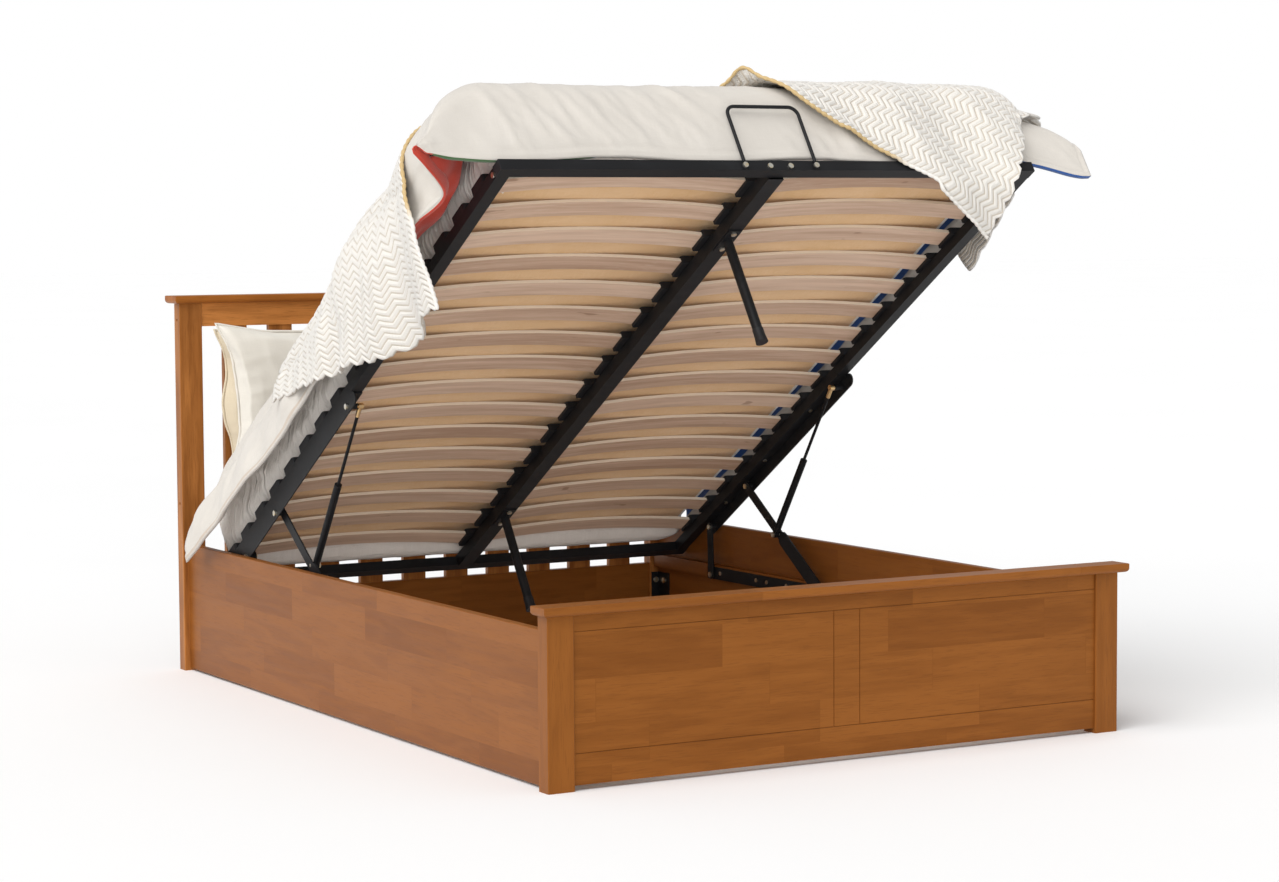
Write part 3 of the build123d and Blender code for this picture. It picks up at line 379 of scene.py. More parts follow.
class Net:
    """Adds and joins the nodes of one tree."""

    def __init__(self, tree):
        """Keep the tree."""
        self.tree = tree

    def node(self, kind, **settings):
        """A new node with its own settings."""
        made = self.tree.nodes.new(kind)
        for key, value in settings.items():
            setattr(made, key, value)
        return made

    def feed(self, socket, value):
        """Link a socket to another or set its value. A colour gets full alpha."""
        if isinstance(value, bpy.types.NodeSocket):
            self.tree.links.new(value, socket)
        elif socket.type == "RGBA":
            socket.default_value = (*value[:3], 1.0)
        else:
            socket.default_value = value

    def fill(self, node, values):
        """Feed a node's inputs by their names."""
        for name, value in values.items():
            self.feed(node.inputs[name], value)

    def row(self, kind, values, **settings):
        """A new node with its first inputs fed in order."""
        made = self.node(kind, **settings)
        for socket, value in zip(made.inputs, values):
            self.feed(socket, value)
        return made

    def math(self, operation, *values):
        """The result of an operation on numbers."""
        return self.row("ShaderNodeMath", values, operation=operation).outputs[0]

    def times(self, first, second):
        """first * second."""
        return self.math("MULTIPLY", first, second)

    def plus(self, first, second):
        """first + second."""
        return self.math("ADD", first, second)

    def minus(self, first, second):
        """first - second."""
        return self.math("SUBTRACT", first, second)

    def ripple(self, value, pitch):
        """|sin(pi value / pitch)|."""
        return self.math("ABSOLUTE", self.math("SINE", self.times(value, math.pi / pitch)))

    def ramp(self, value, low, high):
        """A smooth step from low to high."""
        made = self.node("ShaderNodeMapRange", interpolation_type="SMOOTHSTEP")
        self.fill(made, {"Value": value, "From Min": low, "From Max": high})
        return made.outputs["Result"]

    def band(self, value, start, full, falling, end):
        """One between full and falling, nought before start and after end."""
        return self.times(self.ramp(value, start, full), self.minus(1.0, self.ramp(value, falling, end)))

    def mix(self, share, first, second):
        """The first colour, and the second one by its share."""
        made = self.node("ShaderNodeMix", data_type="RGBA")
        self.feed(made.inputs["Factor"], share)
        colours = [socket for socket in made.inputs if socket.type == "RGBA"]
        for socket, value in zip(colours, (first, second)):
            self.feed(socket, value)
        return [socket for socket in made.outputs if socket.type == "RGBA"][0]

    def vector(self, *values):
        """A vector of three numbers."""
        return self.row("ShaderNodeCombineXYZ", values).outputs[0]

    def parts(self, vector):
        """The three numbers of a vector."""
        return self.row("ShaderNodeSeparateXYZ", [vector]).outputs

    def vectors(self, operation, *values):
        """The result of an operation on vectors."""
        return self.row("ShaderNodeVectorMath", values, operation=operation).outputs["Vector"]

    def noise(self, vector, scale, detail=3.0, roughness=0.55):
        """Noise from nought to one, with one scale or with one for each axis."""
        if isinstance(scale, tuple):
            vector = self.vectors("MULTIPLY", vector, scale)
            scale = 1.0
        made = self.node("ShaderNodeTexNoise")
        self.fill(made, {"Vector": vector, "Scale": scale, "Detail": detail, "Roughness": roughness})
        return made.outputs["Fac"]

    def draw(self, first, second=0.0):
        """A random value and colour for a cell with two whole numbers."""
        made = self.node("ShaderNodeTexWhiteNoise", noise_dimensions="2D")
        self.feed(made.inputs["Vector"], self.vector(first, second, 0.0))
        return made.outputs

    def uv(self):
        """The piece's uv, which is in metres."""
        return self.node("ShaderNodeUVMap", uv_map="UVMap").outputs[0]


FLOAT = "NodeSocketFloat"
COLOUR = "NodeSocketColor"
VECTOR = "NodeSocketVector"


def new_group(name, inputs):
    """A shader group that gives colour, roughness and height: its net, inputs and output node."""
    tree = bpy.data.node_groups.new(name, "ShaderNodeTree")
    for label, kind in inputs.items():
        tree.interface.new_socket(name=label, in_out="INPUT", socket_type=kind)
    for label, kind in {"Color": COLOUR, "Roughness": FLOAT, "Height": FLOAT}.items():
        tree.interface.new_socket(name=label, in_out="OUTPUT", socket_type=kind)
    net = Net(tree)
    return net, net.node("NodeGroupInput").outputs, net.node("NodeGroupOutput")


# Waves in a metre of timber, along, across and through a board
GRAIN = (3.0, 55.0, 55.0)
PORES = (22.0, 420.0, 420.0)
SWIRL = (1.6, 9.0, 9.0)
RINGS = 42.0
PORE_STAIN = (0.13, 0.04, 0.01)
HONEY = (1.0, 0.45, 0.16)
PORE_SHARE = 0.28
# Half width of a finger joint, in board lengths, and how dark it is
JOINT = 0.004
JOINT_SHARE = 0.45


def timber_group():
    """Finger-jointed boards with grain. Boards lie along the vector's X, side by side in its Y.

    Each row of boards is shifted, and each board has its own tone and its own place in the noise."""
    net, given, out = new_group("Timber boards", {
        "Vector": VECTOR, "Light": COLOUR, "Dark": COLOUR, "Board length": FLOAT, "Board width": FLOAT})
    along, across, through = net.parts(given["Vector"])
    across = net.plus(across, net.times(through, 0.13))
    row = net.math("FLOOR", net.math("DIVIDE", across, given["Board width"]))
    row_draw = net.node("ShaderNodeTexWhiteNoise", noise_dimensions="1D")
    net.feed(row_draw.inputs["W"], row)
    shifted = net.plus(net.math("DIVIDE", along, given["Board length"]),
                       net.times(row_draw.outputs["Value"], 5.0))
    board = net.draw(row, net.math("FLOOR", shifted))
    moved = net.vectors("ADD", given["Vector"], net.vectors("MULTIPLY", board["Color"], (7.0, 3.0, 5.0)))
    grain = net.noise(moved, GRAIN, 5.0, 0.6)
    pore = net.ramp(net.noise(moved, PORES, 2.0, 0.5), 0.34, 0.46)
    rings = net.math("SINE", net.times(net.noise(moved, SWIRL, 3.0, 0.5), RINGS))
    figure = net.plus(net.times(rings, 0.11), net.times(grain, 0.95))
    share = net.plus(net.times(board["Value"], 0.62), figure)
    colour = net.mix(net.ramp(share, 0.22, 1.22), given["Dark"], given["Light"])
    colour = net.mix(net.minus(PORE_SHARE, net.times(pore, PORE_SHARE)), colour, PORE_STAIN)
    cell = net.math("FRACT", shifted)
    inside = net.band(cell, 0.0, JOINT, 1.0 - JOINT, 1.0)
    colour = net.mix(net.times(net.minus(1.0, inside), JOINT_SHARE), colour, given["Dark"])
    net.fill(out, {"Color": colour, "Roughness": net.plus(0.34, net.times(grain, 0.16)),
                   "Height": net.plus(net.times(grain, 0.5), net.times(pore, 0.5))})
    return net.tree


def cloth_group():
    """Plain weave with slubs, on the piece's uv in metres."""
    net, given, out = new_group("Woven cloth", {
        "Vector": VECTOR, "Color": COLOUR, "Thread": FLOAT, "Tone": FLOAT})
    across, along, _ = net.parts(given["Vector"])
    thread = net.times(given["Thread"], ONE_TURN)
    warp = net.math("SINE", net.math("DIVIDE", across, thread))
    weft = net.math("SINE", net.math("DIVIDE", along, thread))
    slubs = net.plus(net.noise(given["Vector"], (30.0, 900.0, 1.0), 2.0),
                     net.noise(given["Vector"], (900.0, 30.0, 1.0), 2.0))
    cloud = net.noise(given["Vector"], 7.0, 4.0)
    tone = net.plus(net.times(net.minus(slubs, 1.0), 0.8), net.minus(cloud, 0.5))
    bright = net.node("ShaderNodeBrightContrast")
    net.fill(bright, {"Color": given["Color"], "Bright": net.times(tone, given["Tone"])})
    net.fill(out, {"Color": bright.outputs[0], "Roughness": net.plus(0.82, net.times(cloud, 0.12)),
                   "Height": net.plus(net.times(net.times(warp, weft), 0.25), net.times(slubs, 0.6))})
    return net.tree


def coat_group():
    """Powder coat: a fine orange peel, dust and slightly rubbed patches."""
    net, given, out = new_group("Powder coat", {"Vector": VECTOR, "Color": COLOUR, "Worn": COLOUR})
    cloud = net.noise(given["Vector"], 9.0, 4.0, 0.6)
    streak = net.noise(given["Vector"], (3.0, 60.0, 60.0))
    share = net.ramp(net.plus(net.times(cloud, 0.6), net.times(streak, 0.4)), 0.42, 0.75)
    net.fill(out, {"Color": net.mix(share, given["Color"], given["Worn"]),
                   "Roughness": net.plus(0.33, net.times(cloud, 0.22)),
                   "Height": net.noise(given["Vector"], 900.0, 2.0)})
    return net.tree


GROUPS = {}


def group_node(net, maker, values):
    """A node for a shared group, which is built the first time it is asked for."""
    if maker not in GROUPS:
        GROUPS[maker] = maker()
    made = net.node("ShaderNodeGroup", node_tree=GROUPS[maker])
    net.fill(made, values)
    return made


def new_material(name):
    """An empty material with a Principled shader."""
    material = bpy.data.materials.new(name)
    material.use_nodes = True
    return material, Net(material.node_tree), material.node_tree.nodes["Principled BSDF"]


def bumped(net, shader, height, strength, distance):
    """Feed a height to the shader's normal."""
    made = net.node("ShaderNodeBump")
    net.fill(made, {"Strength": strength, "Distance": distance, "Height": height})
    net.feed(shader.inputs["Normal"], made.outputs[0])


def coated(net, shader, group, strength, distance):
    """Feed a group's colour, roughness and height to the shader."""
    net.fill(shader, {"Base Color": group.outputs["Color"], "Roughness": group.outputs["Roughness"]})
    bumped(net, shader, group.outputs["Height"], strength, distance)


def object_vector(net, turn=(0.0, 0.0, 0.0), place=(0.0, 0.0, 0.0)):
    """Object coordinates, turned back by an inverse mapping."""
    mapping = net.node("ShaderNodeMapping", vector_type="TEXTURE")
    net.fill(mapping, {"Vector": net.node("ShaderNodeTexCoord").outputs["Object"],
                       "Rotation": turn, "Location": place})
    return mapping.outputs[0]


def timber_material(name, turn, width_scale, length_scale, tone, light, dark):
    """Honey stained timber whose boards run along the turned X."""
    finish = bpy.context.scene.bed_timber
    material, net, shader = new_material(name)
    boards = group_node(net, timber_group, {
        "Vector": object_vector(net, turn),
        # The tone scales both colours; above one, on the head cap and the top rail, it is a painted
        # highlight
        "Light": [part * tone for part in light],
        "Dark": [part * tone for part in dark],
        "Board length": finish.board_length * length_scale,
        "Board width": finish.board_width * width_scale})
    net.feed(shader.inputs["Specular Tint"], HONEY)
    coated(net, shader, boards, 0.25, 0.0006)
    return material


# The first slat's place from the foot tube, and the distance between two slats
SLAT_START = 0.06
SLAT_PITCH = 0.1113
# Shares of the birch's colour in its light and dark streaks, and the colour of its knots
BIRCH_LIGHT = 1.18
BIRCH_DARK = (0.72, 0.62, 0.55)
KNOT = (0.20, 0.09, 0.04)


def birch_material():
    """Plain birch slats: streaks along X, and pale edges towards the foot.

    Each slat has its own tone and its own place in the noise."""
    pose = bpy.context.scene.bed_platform
    finish = bpy.context.scene.bed_timber
    material, net, shader = new_material("Birch slats")
    vector = object_vector(net, (-pose.tilt, 0.0, 0.0), (0.0, pose.foot_y, pose.foot_z))
    across, along, _ = net.parts(vector)
    number = net.math("FLOOR", net.math("DIVIDE", net.minus(along, SLAT_START), SLAT_PITCH))
    slat = net.draw(number, net.math("SIGN", across))
    moved = net.vectors("MULTIPLY_ADD", slat["Color"], (4.0, 9.0, 2.0), vector)
    streaks = net.noise(moved, (2.2, 60.0, 30.0), 5.0, 0.62)
    fine = net.noise(moved, (9.0, 380.0, 200.0))
    knots = net.noise(moved, (14.0, 40.0, 40.0), 1.0)
    tone = net.plus(net.times(streaks, 0.8), net.times(slat["Value"], 0.28))
    light = [part * BIRCH_LIGHT for part in finish.birch]
    dark = [part * share for part, share in zip(finish.birch, BIRCH_DARK)]
    colour = net.mix(net.ramp(tone, 0.28, 0.85), dark, light)
    colour = net.mix(net.times(net.ramp(fine, 0.55, 0.7), 0.25), colour, finish.birch_edge)
    colour = net.mix(net.times(net.ramp(knots, 0.74, 0.80), 0.5), colour, KNOT)
    normal = net.node("ShaderNodeNewGeometry").outputs["True Normal"]
    to_foot = (0.0, -math.cos(pose.tilt), math.sin(pose.tilt))
    facing = net.row("ShaderNodeVectorMath", (normal, to_foot), operation="DOT_PRODUCT")
    colour = net.mix(net.ramp(facing.outputs["Value"], 0.35, 0.8), colour, finish.birch_edge)
    net.fill(shader, {"Base Color": colour, "Roughness": net.plus(0.5, net.times(fine, 0.25))})
    bumped(net, shader, net.plus(streaks, fine), 0.2, 0.0005)
    return material


def steel_material(name, colour, worn):
    """Black powder coated steel."""
    material, net, shader = new_material(name)
    coat = group_node(net, coat_group, {"Vector": object_vector(net), "Color": colour, "Worn": worn})
    net.feed(shader.inputs["Specular IOR Level"], 0.16)
    coated(net, shader, coat, 0.12, 0.0003)
    return material


def plated_material(name, colour, spots):
    """Zinc or brass plating: metal with blotches of a second tint."""
    material, net, shader = new_material(name)
    vector = object_vector(net)
    fine = net.noise(vector, 900.0, 2.0)
    blotch = net.ramp(net.noise(vector, 120.0), 0.4, 0.65)
    net.fill(shader, {"Base Color": net.mix(blotch, colour, spots), "Metallic": 1.0,
                      "Roughness": net.plus(0.2, net.times(fine, 0.25))})
    bumped(net, shader, fine, 0.1, 0.0002)
    return material


def plastic_material():
    """Moulded black plastic with a fine texture."""
    material, net, shader = new_material("Moulded plastic")
    vector = object_vector(net)
    grain = net.noise(vector, 700.0, 2.0)
    colour = net.mix(net.noise(vector, 14.0), *BLACK_PLASTIC)
    net.fill(shader, {"Base Color": colour, "Roughness": net.plus(0.42, net.times(grain, 0.15)),
                      "Specular IOR Level": 0.25})
    bumped(net, shader, grain, 0.25, 0.0004)
    return material


def cotton_material(name, colour, thread=0.0009, tone=0.08, strength=0.35):
    """Woven cotton on the piece's uv, with its net, its shader, its cloth node and the uv."""
    material, net, shader = new_material(name)
    uv = net.uv()
    cloth = group_node(net, cloth_group, {"Vector": uv, "Color": colour, "Thread": thread, "Tone": tone})
    net.fill(shader, {"Sheen Weight": 0.25, "Sheen Roughness": 0.5})
    coated(net, shader, cloth, strength, 0.0006)
    return material, net, shader, cloth, uv



# Finishes on the frame


# How the boards' X, Y and Z lie in the bed's frame
FACE_ACROSS = (-math.pi / 2, 0.0, 0.0)
TOP_ACROSS = (0.0, 0.0, 0.0)
LENGTHWAYS = (-math.pi / 2, 0.0, -math.pi / 2)
UPRIGHT = (0.0, math.pi / 2, 0.0)
# Turn, width scale, length scale, tone, whether it is pale, and nodes of each timber material. The tone
# scales both colours; on the head cap and the top rail it is a painted highlight
TIMBER = {
    "Timber across": (FACE_ACROSS, 1.2, 1.0, 1.0, False, ("footboard_panel", "headboard_panel")),
    "Timber foot cap": (TOP_ACROSS, 2.0, 2.0, 1.05, False, ("footboard_cap",)),
    # Tone 1.45: painted highlight, the head cap's colours brightened to stand in for light
    "Timber head cap": (TOP_ACROSS, 2.0, 4.0, 1.45, False, ("headboard_cap",)),
    "Timber lengthways": (LENGTHWAYS, 1.0, 1.0, 1.0, False, (
        "side_rail_left", "side_rail_right", "ledge_batten_left", "ledge_batten_right")),
    "Timber upright": (UPRIGHT, 1.6, 4.0, 1.0, False, ("foot_post_left", "foot_post_right")),
    "Timber headboard": (UPRIGHT, 1.6, 4.0, 1.0, True, (
        "head_post_left", "head_post_right", "headboard_slats")),
    # Tone 1.22: painted highlight, the top rail's colours brightened to stand in for the light on its
    # face towards the foot
    "Timber top rail": (FACE_ACROSS, 2.4, 4.0, 1.22, True, ("headboard_top_rail",)),
}
# Colour and second tint
BLACK_STEEL = ((0.0115, 0.0115, 0.0125), (0.019, 0.0195, 0.0215))
STRUT_PAINT = ((0.006, 0.006, 0.007), (0.012, 0.012, 0.013))
BLACK_PLASTIC = ((0.008, 0.008, 0.009), (0.02, 0.02, 0.022))
ZINC = ((0.75, 0.73, 0.66), (0.80, 0.66, 0.42))
BRASS = ((0.72, 0.50, 0.24), (0.60, 0.42, 0.24))
PLATED = ("corner_bolts", "platform_pivot_bolts", "deck_bolts", "centre_leg_bolts", "base_bar_screws",
          "base_pivot_bolts", "strut_studs", "front_link_bolts", "top_bar_screws")
PLASTIC = ("slat_holders_left", "slat_holders_right", "slat_holders_centre", "deck_end_plugs",
           "centre_leg_feet")
BIRCH = ("deck_slats_left", "deck_slats_right")
STRUTS = ("gas_cylinder_left", "gas_cylinder_right", "gas_rod_left", "gas_rod_right")
BEDDING = ("mattress", "duvet", "throw", "pillow_back_left", "pillow_back_right", "pillow_front_left",
           "pillow_front_right")


def dress(names, material):
    """Give nodes of the frame one material."""
    for name in names:
        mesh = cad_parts[name].data
        mesh.materials.clear()
        mesh.materials.append(material)


class BED_OT_frame_finishes(bpy.types.Operator):
    """Give the frame's nodes their timber, steel, plastic and birch"""
    bl_idname = "bed.frame_finishes"
    bl_label = "Frame finishes"

    def execute(self, context):
        """All black steel but the bedding, then the other finishes."""
        finish = context.scene.bed_timber
        dress([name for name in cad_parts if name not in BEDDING],
              steel_material("Black steel", *BLACK_STEEL))
        for label, (turn, width_scale, length_scale, tone, pale, names) in TIMBER.items():
            colours = (finish.pale, finish.pale_dark) if pale else (finish.light, finish.dark)
            dress(names, timber_material(label, turn, width_scale, length_scale, tone, *colours))
        dress(PLATED, plated_material("Zinc plating", *ZINC))
        dress(("rod_forks",), plated_material("Brass plating", *BRASS))
        dress(PLASTIC, plastic_material())
        dress(BIRCH, birch_material())
        dress(STRUTS, steel_material("Strut paint", *STRUT_PAINT))
        return {"FINISHED"}


# Bedding


# Corner radius in plan, how far its ends fan out from one point, how far its profile reaches in,
# the points round it and the length of its way round
MATTRESS_CORNER = 0.07
MATTRESS_SPINE = 0.66
MATTRESS_INNER = 0.6
MATTRESS_COLUMNS = 760
MATTRESS_ROUND = 6.4
QUILT_HEIGHT = 0.0012
QUILT_PITCH = 0.09
# The sheet's hem at the head: where it starts, where it is full, and how far it hangs and spreads
HEAD_HEM_START = 0.078
HEAD_HEM_FULL = 0.040
HEAD_HEM_DROP = 0.029
HEAD_HEM_SPREAD = 0.6
# Half the width of the ticking that shows, and its distance from the foot and the head end
TICKING_HALF = 0.635
TICKING_FOOT = 0.045
TICKING_HEAD = 0.085


def mattress_loop(shares, half_width, foot, head, corner):
    """Points of a rounded rectangle in (x, u) at shares of the way round it.

    Four straight sides and four quarter circles, by distance along them."""
    width = 2 * half_width
    length = head - foot
    arc = math.pi * corner / 2
    ends = np.cumsum([0.0] + [width - 2 * corner, arc, length - 2 * corner, arc] * 2)
    way = (shares % 1.0) * ends[-1]
    x = np.zeros_like(way)
    u = np.zeros_like(way)
    left, right, low, high = -half_width, half_width, foot, head
    starts = [(left + corner, low), (right - corner, low + corner), (right, low + corner),
              (right - corner, high - corner), (right - corner, high), (left + corner, high - corner),
              (left, high - corner), (left + corner, low + corner)]
    headings = [(1, 0), -math.pi / 2, (0, 1), 0.0, (-1, 0), math.pi / 2, (0, -1), math.pi]
    for index, (start, heading) in enumerate(zip(starts, headings)):
        inside = (way >= ends[index]) & (way <= ends[index + 1])
        run = way - ends[index]
        if isinstance(heading, tuple):
            step = heading[0] * run, heading[1] * run
        else:
            angle = heading + run / corner
            step = corner * np.cos(angle), corner * np.sin(angle)
        x = np.where(inside, start[0] + step[0], x)
        u = np.where(inside, start[1] + step[1], u)
    return x, u


def mattress_profile(settings):
    """The mattress's profile from its underside's middle to its top's, as insets and heights.

    It runs over the flat underside, a round edge, the side, a round edge and the flat top."""
    edge = settings.edge
    turn = np.linspace(0.0, 1.0, 9) * math.pi / 2
    flat = np.concatenate([np.linspace(0.0, 0.9, 26), [0.94, 0.97, 0.985]])
    flat_inset = MATTRESS_INNER * (1 - flat) + edge * flat
    side = np.linspace(0.0, 1.0, 14)[1:-1]
    inset = np.concatenate([flat_inset, edge * (1 - np.sin(turn)), np.zeros(len(side)),
                            edge * (1 - np.cos(turn)), flat_inset[::-1]])
    level = np.concatenate([np.full(len(flat), settings.bottom),
                            settings.bottom + edge * (1 - np.cos(turn)),
                            settings.bottom + edge + side * (settings.top - settings.bottom - 2 * edge),
                            settings.top - edge * (1 - np.sin(turn)),
                            np.full(len(flat), settings.top)])
    return inset[:, None], level[:, None]


def build_mattress(settings):
    """A pad: its rounded outline carried up the profile, with a fan of triangles at each end.

    Rows near the middle shrink the outline towards the centre line. Its side is gathered, with a
    ridge of piping at each edge, its underside is quilted, and the sheet's hem hangs at the head."""
    edge = settings.edge
    inset, level = mattress_profile(settings)
    way = np.linspace(0.0, 1.0, MATTRESS_COLUMNS + 1)[None, :-1]
    x, u = mattress_loop(way, settings.half_width, settings.foot, settings.head, MATTRESS_CORNER)
    centre_u = np.clip(u, settings.foot + MATTRESS_SPINE, settings.head - MATTRESS_SPINE)
    reach = np.maximum(np.sqrt(x ** 2 + (u - centre_u) ** 2), 1e-6)
    share = np.clip(1.0 - inset / np.minimum(reach, settings.half_width), 0.02, 1.0)
    px = x * share
    pu = centre_u + (u - centre_u) * share
    pw = np.broadcast_to(level, px.shape)
    middle = (settings.bottom + settings.top) / 2
    outer = inset < edge
    on_side = bump(pw, middle, 0.06) * outer
    run = way * MATTRESS_ROUND
    wave = creases(run, pw, *GATHERS) + creases(run, pw, *FINE_GATHERS)
    outwards = on_side * (wave - 0.015) + bump(pw, middle, 0.05) * 0.004 * outer
    for ridge in (settings.bottom + edge * 0.7, settings.top - edge * 0.7):
        outwards = outwards + settings.piping * bump(pw, ridge, settings.piping) * outer
    px = px + x / reach * outwards
    pu = pu + (u - centre_u) / reach * outwards
    quilt = QUILT_HEIGHT * np.cos(px * math.tau / QUILT_PITCH) * np.cos(pu * math.tau / QUILT_PITCH)
    pw = pw + np.where((inset >= edge * 0.9) & (pw < middle), np.abs(quilt), 0.0)
    at_head = smoothstep(pu, settings.head - HEAD_HEM_START, settings.head - HEAD_HEM_FULL)
    low = 1 - smoothstep(pw, settings.bottom + edge, settings.bottom + 2 * edge)
    drop = HEAD_HEM_DROP + HEAD_HEM_SPREAD * np.clip(pw - settings.bottom, 0.0, edge)
    pw = pw - at_head * low * drop
    points = platform_to_bed(np.stack([px, pu, pw], axis=-1))
    uv = np.stack([px + np.where(on_side > 0.1, pw, 0.0), pu + pw], axis=-1)
    rows, columns = points.shape[:2]
    count = rows * columns
    points, uv = [np.concatenate([grid.reshape(count, -1), grid.mean(axis=1)[[0, -1]]])
                  for grid in (points, uv)]
    ring = np.arange(columns)
    after = (ring + 1) % columns
    start = count - columns
    low_fan = np.stack([after, ring, np.full(columns, count)], axis=-1)
    high_fan = np.stack([start + ring, start + after, np.full(columns, count + 1)], axis=-1)
    piece = mesh_piece("mattress_pad", points, grid_faces(rows, columns, wrap=True), uv,
                       low_fan.tolist() + high_fan.tolist())
    mark_ticking(piece.data, settings)
    return piece


def mark_ticking(mesh, settings):
    """Give the underside within the sheet's hem the second material."""
    centres = np.empty(len(mesh.polygons) * 3, np.float32)
    mesh.polygons.foreach_get("center", centres)
    x, u, w = np.moveaxis(bed_to_platform(centres.reshape(-1, 3)), -1, 0)
    x = np.abs(x)
    half = TICKING_HALF - 0.05 * bump(u, 0.0, 0.10)
    foot = TICKING_FOOT + 0.25 * np.maximum(x - 0.56, 0.0) / 0.08
    shown = (w < settings.bottom + 0.006) & (x < half) & (u > foot) & (u < settings.head - TICKING_HEAD)
    mesh.polygons.foreach_set("material_index", shown.astype(np.int32))


def gathered_sheet(settings):
    """Cotton with fine gathers that run slantwise up the mattress's side."""
    material, net, shader, cloth, uv = cotton_material("Fitted sheet", settings.sheet, tone=0.10)
    gathers = net.noise(uv, (9.0, 75.0, 1.0), 3.0, 0.5)
    soft = net.noise(uv, (4.0, 22.0, 1.0), 2.0, 0.5)
    height = net.plus(gathers, net.times(soft, 1.6))
    bumped(net, shader, net.plus(height, net.times(cloth.outputs["Height"], 0.03)), 0.9, 0.014)
    return material


class BED_OT_mattress(bpy.types.Operator):
    """Build the mattress with its fitted sheet and ticking"""
    bl_idname = "bed.mattress"
    bl_label = "Mattress"

    def execute(self, context):
        """One padded piece with two materials."""
        settings = context.scene.bed_mattress
        piece = build_mattress(settings)
        piece.data.materials.append(gathered_sheet(settings))
        piece.data.materials.append(
            cotton_material("Ticking", settings.ticking, thread=0.0016, tone=0.16, strength=0.6)[0])
        put_on(piece, "platform", "mattress_cover", "mattress")
        return {"FINISHED"}


# Left reach, left hem, right reach and right hem of the covers, by distance from the foot
COVER_PLACES = (0.0, 0.035, 0.075, 0.12, 0.165, 0.25, 0.35, 0.45, 0.58, 0.75, 0.98, 1.22, 1.46, 1.72,
                1.98)
LEFT_REACH = (0.091, 0.062, 0.035, 0.015, 0.012, 0.015, 0.035, 0.059, 0.075, 0.070, 0.055, 0.048,
              0.066, 0.068, 0.075)
LEFT_HEM = (0.040, 0.018, 0.008, 0.003, -0.003, -0.015, 0.005, 0.038, 0.042, 0.038, 0.032, 0.036,
            0.042, 0.046, 0.060)
RIGHT_REACH = (0.168, 0.139, 0.109, 0.088, 0.075, 0.055, 0.040, 0.036, 0.048, 0.040, 0.048, 0.036,
               0.048, 0.040, 0.040)
RIGHT_HEM = (-0.034, -0.018, 0.004, 0.020, 0.030, 0.036, 0.037, 0.037, 0.038, 0.037, 0.039, 0.037,
             0.039, 0.036, 0.036)
LEFT_CORNER_SHARE = 0.09
DUVET_LEFT = 0.895
DUVET_RIGHT = 0.880
# Straight down in the lifted platform's frame
DOWN_U = 0.543
DOWN_W = 0.840
# How much the foot hem rises at the left and right ends, and how far cloth lies on the foot tube
LEFT_HEM_RISE = 0.012
RIGHT_HEM_RISE = -0.036
OVER_TUBE = 0.075
# How full the sides hang, and how much fuller at the foot; how much higher their middle hangs,
# and how far they lean to the head
SIDE_FULLNESS = 0.16
FOOT_FULLNESS = 0.26
SIDE_BELLY = 0.06
SIDE_LEAN = 0.12
HEM_WIDTH = 0.022
HEM_HEIGHT = 0.0022
STITCH_DEPTH = 0.0016


def by_side(side, place, left, right):
    """Values for the left or right side of the covers, at places from the foot."""
    return np.where(side < 0, spline_values(place, COVER_PLACES, left),
                    spline_values(place, COVER_PLACES, right))


